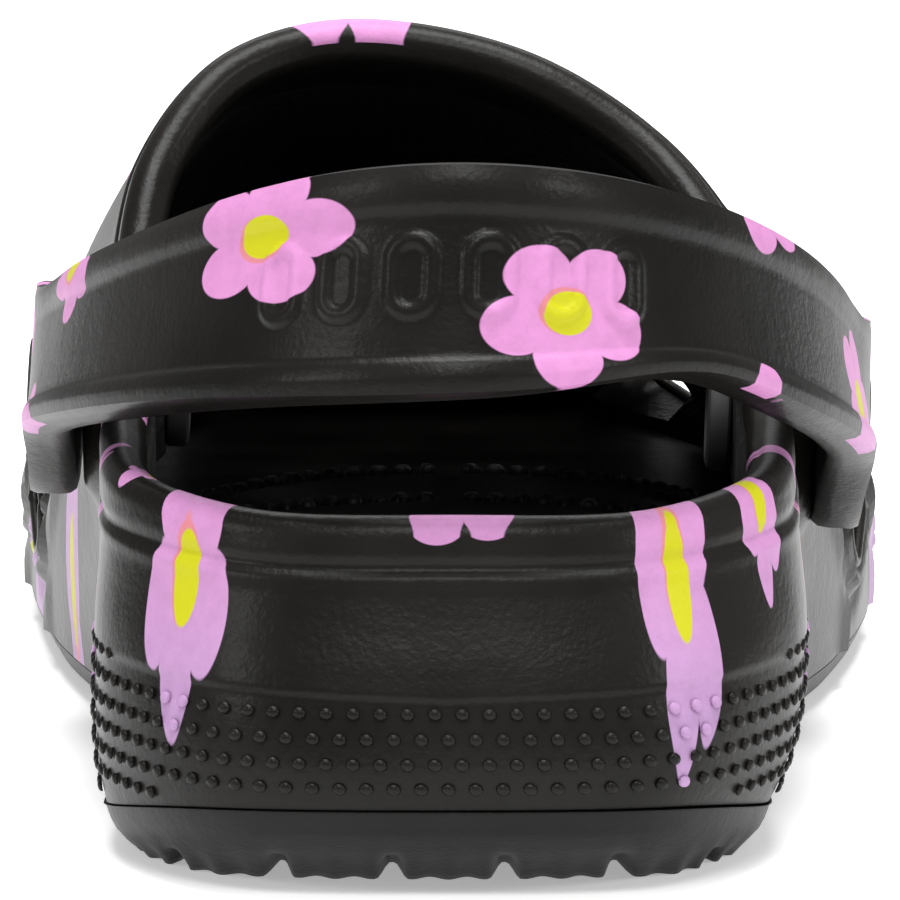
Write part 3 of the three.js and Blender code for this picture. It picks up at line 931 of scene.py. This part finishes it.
def hole_lip(tree, outline, direction, radius, name):
    """A rolled edge laid round a hole: a thin ring along where the outline meets the skin."""
    ring = []
    for point in outline:
        start = Vector((point + ORIGIN) * MM) - Vector(direction) * 0.03
        hit = tree.ray_cast(start, Vector(direction))[0]
        if hit is None:
            return None
        ring.append(np.array(hit) / MM - ORIGIN)
    ring = np.array(ring)
    along = unit(np.roll(ring, -1, axis=0) - np.roll(ring, 1, axis=0))
    out = unit(np.cross(along, np.array(direction)))
    lift = np.cross(out, along)
    rows = []
    for turn in np.linspace(0, 2 * math.pi, 13):
        rows.append(ring + radius * (out * math.cos(turn) + lift * math.sin(turn)))
    return tidy_mesh(sheet(name, rows))


class CLOG_OT_shell(bpy.types.Operator):
    """Makes the thick moulded shell: outside, rolled collar, lining and footbed, with its holes"""

    bl_idname = "clog.shell"
    bl_label = "Moulded shell"

    def execute(self, context):
        settings = settings_of(context)
        rows, plan, split = shell_sheet()
        shell = sheet("foam_shell", rows)
        coords = np.concatenate([plan, plan[:, :1]], axis=1).reshape(-1, 2)
        print_map(shell, coords, shell_flowers())
        shell.data.materials.append(foam_material(settings))
        shell.data.materials.append(finish_of("foam_inside", lambda: scaled_finish(settings)))
        kinds = np.zeros(len(shell.data.polygons), int)
        kinds[(split + LINING_START) * AROUND:(split + INNER_ROWS + 1) * AROUND] = 1
        shell.data.polygons.foreach_set("material_index", kinds)
        tidy_mesh(shell)
        bm = bmesh.new()
        bm.from_mesh(shell.data)
        tree = BVHTree.FromBMesh(bm)
        bm.free()
        frames = port_frames()
        lips, cutters = [], []
        turns = np.linspace(0, 2 * math.pi, 49)[:-1]
        flat = (PORT_LENGTH - PORT_HEIGHT) / 2
        for number, (middle, side, up, normal) in enumerate(frames):
            outline = [
                middle + side * (PORT_HEIGHT / 2 * math.cos(t) + math.copysign(flat, math.cos(t)))
                + up * PORT_HEIGHT / 2 * math.sin(t)
                for t in turns
            ]
            lips.append(hole_lip(tree, outline, -normal, 0.9, f"port_lip_{number}"))
            cutters.append(slot_cutter(middle, side, up, normal))
        for share, places in VENT_ROWS:
            for x in places:
                y = share * LENGTH
                outline = [
                    np.array([x + VENT_RADIUS * math.cos(t), y + VENT_RADIUS * math.sin(t), 70.0])
                    for t in turns
                ]
                lips.append(hole_lip(tree, outline, np.array([0, 0, -1.0]), 0.7, "vent_lip"))
                cutters.append(vent_cutter(x, y))
        for cutter in cutters:
            blank_print(cutter)
        cut(shell, join(cutters))
        smooth(shell, 50)
        dress(shell, "clog_body")
        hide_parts("upper_body")
        lips = join([lip for lip in lips if lip is not None])
        lips.name = "hole_lips"
        blank_print(lips)
        smooth(lips, 60)
        dress(lips, "clog_body", foam_material(settings))
        return {"FINISHED"}


class CLOG_OT_grip_dots(bpy.types.Operator):
    """Makes the band of small raised dots round the lower heel"""

    bl_idname = "clog.grip_dots"
    bl_label = "Heel dots"

    def execute(self, context):
        settings = settings_of(context)
        u = np.linspace(-0.225, 0.225, HEEL_COLUMNS) % 1.0
        v = np.linspace(0, 0.9, HEEL_STEPS)
        whole = np.linspace(0, 1, HEEL_STEPS)
        index = np.arange(HEEL_COLUMNS)
        wide_u = np.broadcast_to(u, (HEEL_STEPS, HEEL_COLUMNS))
        point, _, normal = skin_frame(wide_u, np.broadcast_to(v[:, None], wide_u.shape))
        wall = outer_skin(wide_u, np.broadcast_to(whole[:, None], wide_u.shape))
        steps = np.linalg.norm(np.diff(wall, axis=0), axis=-1)
        climbed = np.concatenate([np.zeros((1, HEEL_COLUMNS)), np.cumsum(steps, axis=0)])
        down = climbed[-1] - np.array([np.interp(v, whole, climbed[:, k]) for k in index]).T
        places, normals, spots = [], [], []
        way = heel_way(u)
        for row in range(DOT_ROWS):
            height = settings.dot_first + settings.dot_row * row
            column = np.array([
                np.interp(height, point[:, k, 2], np.arange(HEEL_STEPS)) for k in index
            ])
            base = np.clip(column.astype(int), 0, HEEL_STEPS - 2)
            part = (column - base)[:, None]
            line = lerp(point[base, index], point[base + 1, index], part)
            facing = unit(lerp(normal[base, index], normal[base + 1, index], part))
            steps = np.linalg.norm(np.diff(line, axis=0), axis=1)
            along = np.concatenate([[0], np.cumsum(steps)])
            along -= along[HEEL_COLUMNS // 2]
            start = 0.5 * settings.dot_pitch * (row % 2)
            reach = min(-along[0], along[-1])
            marks = np.arange(-reach + 1, reach - 1, settings.dot_pitch)
            marks = marks - marks[np.argmin(np.abs(marks))] + start
            drop = np.array([
                np.interp(column[k], np.arange(HEEL_STEPS), down[:, k]) for k in index
            ])
            for mark in marks:
                spot = np.array([np.interp(mark, along, line[:, k]) for k in range(3)])
                turn = unit(np.array([np.interp(mark, along, facing[:, k]) for k in range(3)]))
                top = DOT_TOP + 0.04 * abs(spot[0]) + 0.05 * max(spot[1] - 10, 0)
                if spot[2] > top or spot[2] < parting_height(spot[1]) + 1.6:
                    continue
                places.append(spot)
                normals.append(turn)
                depth = np.interp(mark, along, drop)
                spots.append([np.interp(mark, along, way) + HEEL_MAP, -depth])
        places, normals = np.array(places), np.array(normals)
        sizes = np.tile(DOT_SIZE, (len(places), 1))
        sunk = places - normals * DOT_SINK
        dots = scatter("heel_dots", dome_pattern(), sunk, normals, sizes)
        per = len(dots.data.vertices) // len(places)
        print_map(dots, np.repeat(np.array(spots), per, axis=0), shell_flowers())
        smooth(dots, 80)
        dress(dots, "clog_body", foam_material(settings))
        return {"FINISHED"}


def footbed_lines():
    """Curved lines of nubs on the footbed: leaf shapes that fan out from the arch to the heel."""
    lines = []
    for side in (-1, 1):
        for start, bend, end in (
            ((2, 120), (12, 80), (30, 52)),
            ((2, 112), (9, 76), (26, 42)),
            ((0, 98), (5, 66), (19, 30)),
            ((0, 88), (3, 60), (13, 28)),
            ((4, 128), (20, 96), (34, 78)),
        ):
            lines.append([(side * x, y) for x, y in (start, bend, end)])
    for side in (-1, 1):
        for k in range(4):
            y = 140 + 22 * k
            end = 38 - 3 * abs(k - 1)
            lines.append([(side * 3, y + 14), (side * 22, y + 12), (side * end, y - 6)])
    return [np.array(line, float) for line in lines]


class CLOG_OT_nubs(bpy.types.Operator):
    """Makes the rows of small raised nubs on the footbed"""

    bl_idname = "clog.footbed_nubs"
    bl_label = "Footbed nubs"

    def execute(self, context):
        settings = settings_of(context)
        places = []
        for start, bend, end in footbed_lines():
            t = np.linspace(0, 1, 200)[:, None]
            curve = (1 - t) ** 2 * start + 2 * t * (1 - t) * bend + t**2 * end
            along = np.concatenate([[0], np.cumsum(np.linalg.norm(np.diff(curve, axis=0), axis=1))])
            for mark in np.arange(0, along[-1], settings.nub_pitch):
                places.append([np.interp(mark, along, curve[:, 0]), np.interp(mark, along, curve[:, 1])])
        for row in range(5):
            for column in range(5):
                places.append([-24 + 4.2 * column + 2.1 * (row % 2), 24 + 3.6 * row])
        flat = np.array(places)
        spots = np.column_stack([flat, floor_height(flat[:, 1])])
        slope = (floor_height(flat[:, 1] + 0.5) - floor_height(flat[:, 1] - 0.5))
        normals = unit(np.column_stack([0 * slope, -slope, np.ones(len(slope))]))
        sizes = np.tile(NUB_SIZE, (len(spots), 1))
        sunk = spots - normals * DOT_SINK
        nubs = scatter("footbed_nubs", dome_pattern(), sunk, normals, sizes)
        blank_print(nubs)
        smooth(nubs, 80)
        inside = finish_of("foam_inside", lambda: scaled_finish(settings))
        dress(nubs, "clog_body", inside)
        return {"FINISHED"}


def contact_edge(u):
    edge = foot_edge(u)
    outward = foot_outward(u)
    edge[..., 0] -= TREAD_INSET * outward[..., 0]
    inset = np.where(outward[..., 1] < 0, HEEL_ROLL, TREAD_INSET)
    edge[..., 1] -= inset * outward[..., 1]
    edge[..., 2] = toe_lift(edge[..., 1])
    return edge


class CLOG_OT_tread(bpy.types.Operator):
    """Makes the tread: a smooth side wall, scalloped edge pads and rounded lugs underneath"""

    bl_idname = "clog.tread"
    bl_label = "Tread"

    def execute(self, context):
        settings = settings_of(context)
        u = going_round(TREAD_COLUMNS)
        joint = foot_edge(u)
        contact = contact_edge(u)
        edge_steps = np.linalg.norm(np.diff(contact, axis=0, append=contact[:1]), axis=1)
        along = np.concatenate([[0], np.cumsum(edge_steps)[:-1]])
        pads = round(edge_steps.sum() / settings.pad_length)
        phase = along / edge_steps.sum() * pads
        swing = np.abs(((phase + 0.5) % 1.0) - 0.5) * 2
        pad = 1 - smoothstep(swing, 0.72, 0.97)
        teeth = np.cos(phase * 2 * TEETH * math.pi)
        ripple = 0.25 * teeth
        rows = []

        def at(points, rise):
            made = points.copy()
            made[:, 2] = np.maximum(rise, toe_lift(made[:, 1]))
            return made

        deep = settings.lug_depth
        wave = 0.12 * (1 - teeth) + 1.5 * (1 - pad)
        lift = toe_lift(contact[:, 1])
        for share in (0.0, 0.3, 0.6, LUG_SHARE, PAD_SHARES[0] - 0.015):
            row = lerp(CENTRE, contact, share)
            rows.append(at(row, toe_lift(row[:, 1]) + deep))
        step = lerp(CENTRE, contact, PAD_SHARES[0] - 0.01)
        rows.append(at(step, lift + deep - (deep - 0.5) * pad))
        for share in PAD_SHARES:
            rows.append(at(lerp(CENTRE, contact, share), lift + wave))
        under = joint.copy()
        under[:, 2] = parting_height(under[:, 1]) - TREAD_DEPTH + 0.6
        out = foot_outward(u)
        under[:, :2] -= settings.tread_draft * out[:, :2]
        for share in (0.0, 0.12, 0.28, 0.46, 0.62, 0.78):
            row = lerp(contact, under, share)
            arch = smoothstep(swing, 0.5, 1.0) * bump_at(share, 0.2, 0.35)
            rise = row[:, 2] + 0.4 * share + wave * (1 - smoothstep(share, 0.25, 0.7))
            row += out * (0.7 * pad - 0.9 * arch + ripple * pad)[:, None] * (1 - share)
            row[:, 2] = np.maximum(rise, toe_lift(row[:, 1]))
            rows.append(row)
        for share in (0.3, 0.55, 0.8, 0.93):
            row = lerp(under, joint, share)
            belly = 0.35 * math.sin(math.pi * share) - 0.2
            row[:, :2] += (out * belly)[:, :2]
            rows.append(row)
        top = joint.copy()
        top[:, 2] -= 0.12
        rows.append(top)
        inner_top = joint - out * 0.7
        inner_top[:, 2] = joint[:, 2] - 0.06
        rows.append(inner_top)
        for share in (0.9, 0.65, 0.3, 0.0):
            row = lerp(CENTRE, joint, share)
            row[:, 2] = parting_height(row[:, 1]) - GAP
            rows.append(row)
        tread = tidy_mesh(sheet("tread_foam", rows))
        tread = join([tread, self.lugs(settings)])
        tread.name = "tread"
        blank_print(tread)
        smooth(tread, 35)
        # The tread's cooler tint is painted bounce light from the pale floor below
        dress(tread, "clog_body", tread_foam_with_painted_bounce_material(settings))
        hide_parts("outsole")
        return {"FINISHED"}

    def lugs(self, settings):
        """Rounded blocks in rows under the heel and the ball of the foot."""
        bpy.ops.object.select_all(action="DESELECT")
        bpy.ops.mesh.primitive_cube_add(size=1)
        pattern = bpy.context.active_object
        pattern.data.transform(Matrix.Diagonal((1, 0.8, 1, 1)))
        bpy.ops.object.mode_set(mode="EDIT")
        bpy.ops.mesh.select_all(action="SELECT")
        bpy.ops.mesh.bevel(offset=0.2, segments=2, affect="EDGES")
        bpy.ops.object.mode_set(mode="OBJECT")
        u = going_round(360)
        border = contact_edge(u)[:, :2]
        middle = CENTRE[:2]
        angles = np.arctan2(*(border - middle).T)
        order = np.argsort(angles)
        radii = np.linalg.norm(border - middle, axis=1)
        places = []
        for y in np.arange(14, LENGTH - 10, settings.lug_pitch):
            for x in np.arange(-45, 46, settings.lug_pitch * 1.1):
                shifted = x + 0.25 * settings.lug_pitch * math.sin(y / 9)
                spot = np.array([shifted, y])
                away = np.linalg.norm(spot - middle)
                limit = np.interp(
                    math.atan2(*(spot - middle)), angles[order], radii[order], period=2 * math.pi
                )
                if away < LUG_SHARE * limit and not ARCH[0] < y < ARCH[1]:
                    places.append([shifted, y, toe_lift(y) + settings.lug_depth / 2 + 0.15])
        size = settings.lug_pitch * 0.8
        normals = np.tile([0.0, 0.0, 1.0], (len(places), 1))
        sizes = np.tile([size, size, settings.lug_depth + 0.3], (len(places), 1))
        return scatter("lugs", pattern, np.array(places), normals, sizes)


# The strap, in the rivets' own frame: it lies in a plane through their line.
STRAP_MIDDLE = BOSS_FACE + GAP + STRAP_THICKNESS / 2
STRAP_FACE = STRAP_MIDDLE + STRAP_THICKNESS / 2
STRAP_REACH = (PIVOT_Y - STRAP_SETBACK) / math.cos(STRAP_RISE) - STRAP_THICKNESS / 2
STRAP_STRAIGHT = TAB_RADIUS + 1
STRAP_FLAT = 0.86  # share of the half height that each face takes up
STRAP_CORNERS = (
    (0.96, 0.93), (0.84, 0.975), (0.6, 1.0), (0.2, 1.0), (-0.3, 1.0), (-0.7, 0.985), (-0.93, 0.94)
)
PIVOT_TILT = math.atan2(PIVOT_DROP, 2 * BOSS_FACE)


def pivot_matrix():
    return Matrix.Translation((0, PIVOT_Y, PIVOT_HEIGHT)) @ Matrix.Rotation(PIVOT_TILT, 4, "Y")


def strap_matrix():
    return pivot_matrix() @ Matrix.Rotation(-STRAP_RISE, 4, "X")


def moved(points, matrix):
    table = np.array(matrix)
    return points @ table[:3, :3].T + table[:3, 3]


def strap_path(ends=28, bend=190):
    """The strap's middle line from the outer tab round the heel to the inner one."""
    turn = np.linspace(0, math.pi / 2, ends + 1)
    tab = np.column_stack([np.full(ends + 1, STRAP_MIDDLE), TAB_RADIUS * np.cos(turn)])
    run = np.linspace(0, -STRAP_STRAIGHT, 12)[1:-1]
    straight = np.column_stack([np.full(len(run), STRAP_MIDDLE), run])
    turn = np.linspace(0, math.pi / 2, bend + 1)
    power = 2 / STRAP_SQUARENESS
    x = STRAP_MIDDLE * np.clip(np.cos(turn), 0, 1) ** power
    y = -STRAP_STRAIGHT - (STRAP_REACH - STRAP_STRAIGHT) * np.sin(turn) ** power
    half = np.concatenate([tab, straight, np.column_stack([x, y])])
    half[-1, 0] = 0
    mirrored = half[-2::-1] * (-1, 1)
    return np.concatenate([half, mirrored])


def strap_profile():
    """The strap's section as (thickness share, height share) points, anticlockwise."""
    outer = [(1.0, h) for h in np.linspace(-STRAP_FLAT, STRAP_FLAT, 61)]
    inner = [(-1.0, h) for h in np.linspace(STRAP_FLAT, -STRAP_FLAT, 15)]
    below = [(t, -h) for t, h in reversed(STRAP_CORNERS)]
    return np.array([*outer, *STRAP_CORNERS, *inner, *below])


def strap_face_relief(height, middle, run, up, settings):
    """The outer face: round beads along both edges, a groove beside each, a sunken panel, and
    in the panel a row of plain raised oval rings for grip."""
    beads = ridge(height, 0.3, 0.78, 0.17) + ridge(height, 0.35, -0.84, 0.12)
    grooves = ridge(height, -0.35, 0.57, 0.05) + ridge(height, -0.45, -0.65, 0.04)
    panel = -0.55 * smoothstep(height, -0.67, -0.57) * (1 - smoothstep(height, 0.48, 0.6))
    rings = 0
    for number in range(settings.bar_count):
        mark = settings.bar_shift + (number - (settings.bar_count - 1) / 2) * settings.bar_pitch
        away = np.hypot(run - mark, np.maximum(np.abs(up - 0.6) - 2.0, 0))
        rings = np.maximum(rings, 0.5 * smoothstep(-np.abs(away - 2.15), -1.05, -0.45))
    return (beads + grooves + panel) * middle + rings - 0.4


class CLOG_OT_strap(bpy.types.Operator):
    """Makes the heel strap with its beaded edges, sunken panel and raised grip rings"""

    bl_idname = "clog.strap"
    bl_label = "Heel strap"

    def execute(self, context):
        settings = settings_of(context)
        path = strap_path()
        ahead = np.roll(path, -1, axis=0)
        ahead[-1] = path[-1]
        behind = np.roll(path, 1, axis=0)
        behind[0] = path[0]
        along = unit(ahead - behind)
        outward = np.column_stack([-along[:, 1], along[:, 0]])
        outward[0], outward[-1] = (1, 0), (-1, 0)
        back = -path[:, 1] / STRAP_REACH
        side = np.abs(path[:, 0]) / STRAP_MIDDLE
        lean = STRAP_LEAN * smoothstep(back, 0.12, 0.36) * smoothstep(side, 0.1, 0.8)
        level = path[:, 0] * math.tan(PIVOT_TILT) * smoothstep(back, 0.1, 0.8)
        band = lerp(STRAP_HEIGHT, STRAP_NECK, (path[:, 0] / STRAP_MIDDLE) ** 2) / 2
        half = lerp(TAB_RADIUS, band, smoothstep(-path[:, 1], 0, 2.2 * TAB_RADIUS))
        round_end = np.sqrt(np.maximum(TAB_RADIUS**2 - path[:, 1] ** 2, 0.02))
        half = np.where(path[:, 1] > 0, round_end, half)
        thick = np.full(len(path), STRAP_THICKNESS / 2)
        thick *= lerp(0.8, 1.0, smoothstep(half, 0, 5))
        middle = smoothstep(back, 0.14, 0.4)
        profile = strap_profile()
        rows, prints = [], []
        steps = np.linalg.norm(np.diff(path, axis=0), axis=1)
        run = np.concatenate([[0], np.cumsum(steps)])
        run -= run[len(path) // 2]
        for thickness, height in profile:
            face = 1.0 if thickness > 0.9 else 0.0
            up = height * half * (1 - (0.28 * bump_at(-run, 31, 19) if height < 0 else 0))
            relief = strap_face_relief(height, middle, -run, up, settings)
            out = thickness * thick + face * relief
            across = out * np.cos(lean) - up * np.sin(lean)
            rise = up * np.cos(lean) + out * np.sin(lean) + level
            point = path + outward * across[:, None]
            rows.append(np.column_stack([point, rise]))
            visible = thickness > 0.1
            prints.append(np.column_stack([-run, up]) if visible else np.full((len(path), 2), np.nan))
        rows = np.array(rows).transpose(1, 0, 2)
        prints = np.array(prints).transpose(1, 0, 2)
        caps = [np.repeat(rows[k].mean(axis=0)[None], rows.shape[1], axis=0) for k in (0, -1)]
        rows = np.concatenate([caps[0][None], rows, caps[1][None]])
        prints = np.concatenate([prints[:1], prints, prints[-1:]])
        rows = moved(rows, strap_matrix())
        strap = sheet("strap_band", rows)
        coords = np.concatenate([prints, prints[:, :1]], axis=1).reshape(-1, 2)
        print_map(strap, coords, STRAP_FLOWERS)
        tidy_mesh(strap)
        for number in (-1, 1):
            bpy.ops.object.select_all(action="DESELECT")
            bpy.ops.mesh.primitive_cylinder_add(
                vertices=64, radius=(HEAD_RADIUS + GAP) * MM, depth=10 * MM, rotation=(0, math.pi / 2, 0)
            )
            cutter = bpy.context.active_object
            bpy.ops.object.transform_apply(location=True, rotation=True, scale=True)
            shift = Matrix.Translation((number * (STRAP_FACE - HEAD_THICKNESS + 5), 0, 0))
            place_in_row(cutter, pivot_matrix() @ shift)
            blank_print(cutter)
            cut(strap, cutter)
        smooth(strap, 45)
        dress(strap, "strap", foam_material(settings))
        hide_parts("heel_strap")
        return {"FINISHED"}


def place_in_row(obj, matrix):
    """Puts a mesh made in millimetres-as-metres at its place in the row frame."""
    scale = Matrix.Scale(MM, 4)
    back = Matrix.Scale(1 / MM, 4)
    origin = Matrix.Translation(Vector(ORIGIN))
    obj.data.transform(scale @ origin @ matrix @ back)
    obj.data.update()


class CLOG_OT_rivets(bpy.types.Operator):
    """Makes both snap rivets: a stud with a dished head outside and a cap inside"""

    bl_idname = "clog.rivets"
    bl_label = "Rivets"

    def execute(self, context):
        settings = settings_of(context)
        plastic = finish_of("rivet_plastic", lambda: plastic_finish(settings))
        head_base = STRAP_FACE - HEAD_THICKNESS + GAP
        cap_base = BOSS_BACK - GAP
        end = cap_base - CAP_THICKNESS + CAP_SKIN + GAP
        face = head_base + HEAD_THICKNESS
        back = cap_base - CAP_THICKNESS
        stud = (
            (0, end), (SHANK_RADIUS - 0.4, end), (SHANK_RADIUS, end + 0.4),
            (SHANK_RADIUS, head_base), (HEAD_RADIUS - 0.1, head_base), (HEAD_RADIUS, head_base + 0.1),
            (HEAD_RADIUS, face - 0.8), (HEAD_RADIUS - 0.2, face - 0.35), (HEAD_RADIUS - 0.5, face - 0.08),
            (HEAD_RADIUS - 0.9, face), (HEAD_RADIUS - 1.4, face), (HEAD_RADIUS - 1.6, face - 0.15),
            (HEAD_RADIUS - 1.8, face - 0.4), (HEAD_RADIUS - 3.2, face - 0.42),
            (HEAD_RADIUS - 3.5, face - 0.2), (HEAD_RADIUS - 4.0, face - 0.12), (0, face - 0.1),
        )
        bore = SHANK_RADIUS + GAP
        cap = (
            (0, end - 0.3), (bore, end - 0.3), (bore, cap_base), (CAP_RADIUS - 0.3, cap_base),
            (CAP_RADIUS, cap_base - 0.3), (CAP_RADIUS, back + 0.9), (CAP_RADIUS - 0.3, back + 0.3),
            (CAP_RADIUS - 0.9, back), (CAP_RADIUS - 1.8, back), (CAP_RADIUS - 2.1, back + 0.3),
            (0, back + 0.35),
        )
        for name, side in (("inner", -1), ("outer", 1)):
            for kind, profile in (("stud", stud), ("cap", cap)):
                made = self.turned(f"{kind}_{name}", profile, side)
                smooth(made, 35)
                dress(made, f"rivet_{name}", plastic)
                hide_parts(f"rivet_{kind}_{name}")
        return {"FINISHED"}

    def turned(self, name, profile, side):
        """A solid turned on the rivets' line from (radius, distance out) points."""
        round_way = going_round(TURNED_SIDES)[:, None] * 2 * math.pi
        rows = []
        for radius, out in profile:
            ring = np.hstack([
                np.full((TURNED_SIDES, 1), side * out),
                radius * np.cos(round_way),
                radius * np.sin(round_way),
            ])
            rows.append(moved(ring, pivot_matrix()))
        return tidy_mesh(sheet(name, rows))


class CLOG_OT_stage(bpy.types.Operator):
    """Sets the pale floor, soft lights, plain background and camera"""

    bl_idname = "clog.stage"
    bl_label = "Stage"

    def execute(self, context):
        settings = settings_of(context)
        bpy.ops.object.select_all(action="DESELECT")
        bpy.ops.mesh.primitive_plane_add(size=12)
        floor = bpy.context.active_object
        floor.name = "pale_floor"
        nodes = Nodes("pale_floor")
        place = nodes.add("ShaderNodeTexCoord").outputs["Object"]
        shade = nodes.noise(place, 3)
        colour = nodes.mix(shade, (0.9, 0.9, 0.9, 1), (0.93, 0.93, 0.93, 1))
        nodes.link(colour, nodes.shader.inputs["Base Color"])
        nodes.shader.inputs["Roughness"].default_value = 0.9
        nodes.shader.inputs["Specular IOR Level"].default_value = 0.1
        nodes.shader.inputs["Emission Color"].default_value = (1, 1, 1, 1)
        nodes.shader.inputs["Emission Strength"].default_value = settings.floor_glow
        floor.data.materials.append(nodes.material)
        for name, place, size, power in (
            ("top_soft", (0.0, -0.1, 1.0), 0.6, 14),
            ("back_soft", (0.0, -0.9, 1.1), 0.5, 8),
            ("left_soft", (-1.0, -0.6, 0.6), 0.3, 3),
            ("right_soft", (1.0, -0.6, 0.6), 0.3, 4),
            ("floor_soft", (0.0, 1.5, 1.2), 1.6, 14),
        ):
            light = bpy.data.lights.new(name, "AREA")
            light.shape = "RECTANGLE"
            light.size, light.size_y = size, size * 0.7
            light.energy = power * settings.light
            lamp = bpy.data.objects.new(name, light)
            bpy.context.scene.collection.objects.link(lamp)
            lamp.location = place
            aim = Vector((0, max(place[1], 0), 0.04))
            lamp.rotation_euler = (aim - Vector(place)).to_track_quat("-Z", "Y").to_euler()
        world = bpy.data.worlds.new("plain")
        world.use_nodes = True
        world.node_tree.nodes["Background"].inputs[0].default_value = (1, 1, 1, 1)
        world.node_tree.nodes["Background"].inputs[1].default_value = settings.backdrop
        bpy.context.scene.view_settings.view_transform = "Standard"
        bpy.context.scene.world = world
        camera = bpy.data.cameras.new("camera")
        camera.sensor_width, camera.lens = 36.0, settings.lens
        eye = bpy.data.objects.new("camera", camera)
        bpy.context.scene.collection.objects.link(eye)
        tilt = settings.elevation
        target = Vector(settings.target)
        eye.location = target + settings.distance * Vector((0, -math.cos(tilt), math.sin(tilt)))
        eye.rotation_euler = (math.pi / 2 - tilt, 0, 0)
        bpy.context.scene.camera = eye
        return {"FINISHED"}


def tint(name, description, default):
    """A colour that a user would change."""
    return FloatVectorProperty(
        name=name, description=description, subtype="COLOR", default=default, min=0, max=1
    )


def millimetres(name, description, default, **limits):
    """A size in millimetres that a user would change."""
    return FloatProperty(
        name=name, description=f"{description} in millimetres", default=default, **limits
    )


class ClogSettings(bpy.types.PropertyGroup):
    """Sizes in millimetres and colours that a user would change"""

    foam: tint("Foam", "Colour of the foam", (0.0068, 0.0062, 0.0055))
    # Tread: the same dark foam as the shell, tinted cooler and more neutral as painted bounce light from
    # the pale floor below
    tread: tint("Tread", "Colour of the tread foam", (0.0066, 0.0064, 0.0063))
    rivet: tint("Rivet", "Colour of the rivets", (0.008, 0.0075, 0.007))
    petal: tint("Petal", "Colour of the printed petals", (0.49, 0.205, 0.42))
    petal_low: tint("Low petal", "Colour of the petals near the ground", (0.36, 0.22, 0.39))
    middle: tint("Flower middle", "Colour of the flowers' middles", (0.42, 0.41, 0.009))
    ring: tint("Ring", "Colour of the thin ring beside the middle", (0.5, 0.17, 0.2))
    dot_pitch: millimetres("Dot pitch", "Distance between heel dots", 3.1, min=2)
    dot_row: millimetres("Dot rows", "Height between rows of heel dots", 2.85, min=2)
    dot_first: millimetres("First row", "Height of the lowest row of dots", 7.75, min=1)
    nub_pitch: millimetres("Nub pitch", "Distance between footbed nubs", 3.3, min=2)
    tread_draft: millimetres(
        "Tread draft", "How far the tread draws in under the shell", 2.2, min=0
    )
    pad_length: millimetres(
        "Edge pad", "Length of each pad along the tread's edge", 13.0, min=5
    )
    lug_pitch: millimetres("Lug pitch", "Distance between lugs", 11.0, min=6)
    lug_depth: millimetres("Lug depth", "Height of the lugs", 3.0, min=1, max=4)
    bar_count: IntProperty(
        name="Grip rings", description="Raised rings across the back of the strap", default=6, min=0
    )
    bar_pitch: millimetres("Ring pitch", "Distance between the rings", 8.0, min=4)
    bar_shift: millimetres("Ring shift", "How far round the row of rings stands,", -1.0)
    light: FloatProperty(
        name="Light", description="Strength of the studio lights", default=1.0, min=0
    )
    floor_glow: FloatProperty(
        name="Floor glow", description="Light from the pale floor itself", default=0.36, min=0
    )
    backdrop: FloatProperty(
        name="Backdrop", description="Brightness of the background", default=0.28, min=0
    )
    lens: millimetres("Lens", "Focal length", 389.4, min=1)
    elevation: FloatProperty(
        name="Elevation", description="Camera's angle above the horizon", subtype="ANGLE",
        default=math.radians(9),
    )
    distance: FloatProperty(
        name="Distance", description="From the camera to the clog", subtype="DISTANCE",
        unit="LENGTH", default=1.24, min=0.1,
    )
    target: FloatVectorProperty(
        name="Target", description="Point the camera looks at", subtype="XYZ",
        default=(0.0005, 0, 0.0298),
    )


PIECES = ("shell", "grip_dots", "footbed_nubs", "tread", "strap", "rivets", "stage")


class CLOG_PT_panel(bpy.types.Panel):
    """The pieces of the clog"""

    bl_idname = "CLOG_PT_panel"
    bl_label = "Foam clog"
    bl_space_type = "VIEW_3D"
    bl_region_type = "UI"
    bl_category = "Clog"

    def draw(self, context):
        for piece in PIECES:
            self.layout.operator(f"clog.{piece}")
        for name in ClogSettings.__annotations__:
            self.layout.prop(settings_of(context), name)


CLASSES = (
    ClogSettings, CLOG_OT_shell, CLOG_OT_grip_dots, CLOG_OT_nubs, CLOG_OT_tread, CLOG_OT_strap,
    CLOG_OT_rivets, CLOG_OT_stage, CLOG_PT_panel,
)


def register():
    for one in CLASSES:
        bpy.utils.register_class(one)
    bpy.types.Scene.clog_settings = PointerProperty(type=ClogSettings)


def unregister():
    del bpy.types.Scene.clog_settings
    for one in reversed(CLASSES):
        bpy.utils.unregister_class(one)


def row_origin():
    """The shift from the clog's own frame to the row frame, found from the tread's footprint."""
    outline = outer_skin(*np.meshgrid(going_round(720), np.linspace(0, 1, 81)))
    low, high = outline.reshape(-1, 3).min(axis=0), outline.reshape(-1, 3).max(axis=0)
    middle = (np.array(BODY_LOW) + np.array(BODY_HIGH)) / 2 / MM
    shift = middle - (low + high) / 2
    return np.array([shift[0], shift[1], 0.0])


def main():
    global ORIGIN
    ORIGIN = row_origin()
    register()
    for piece in PIECES:
        getattr(bpy.ops.clog, piece)()


if __name__ == "__main__":
    main()
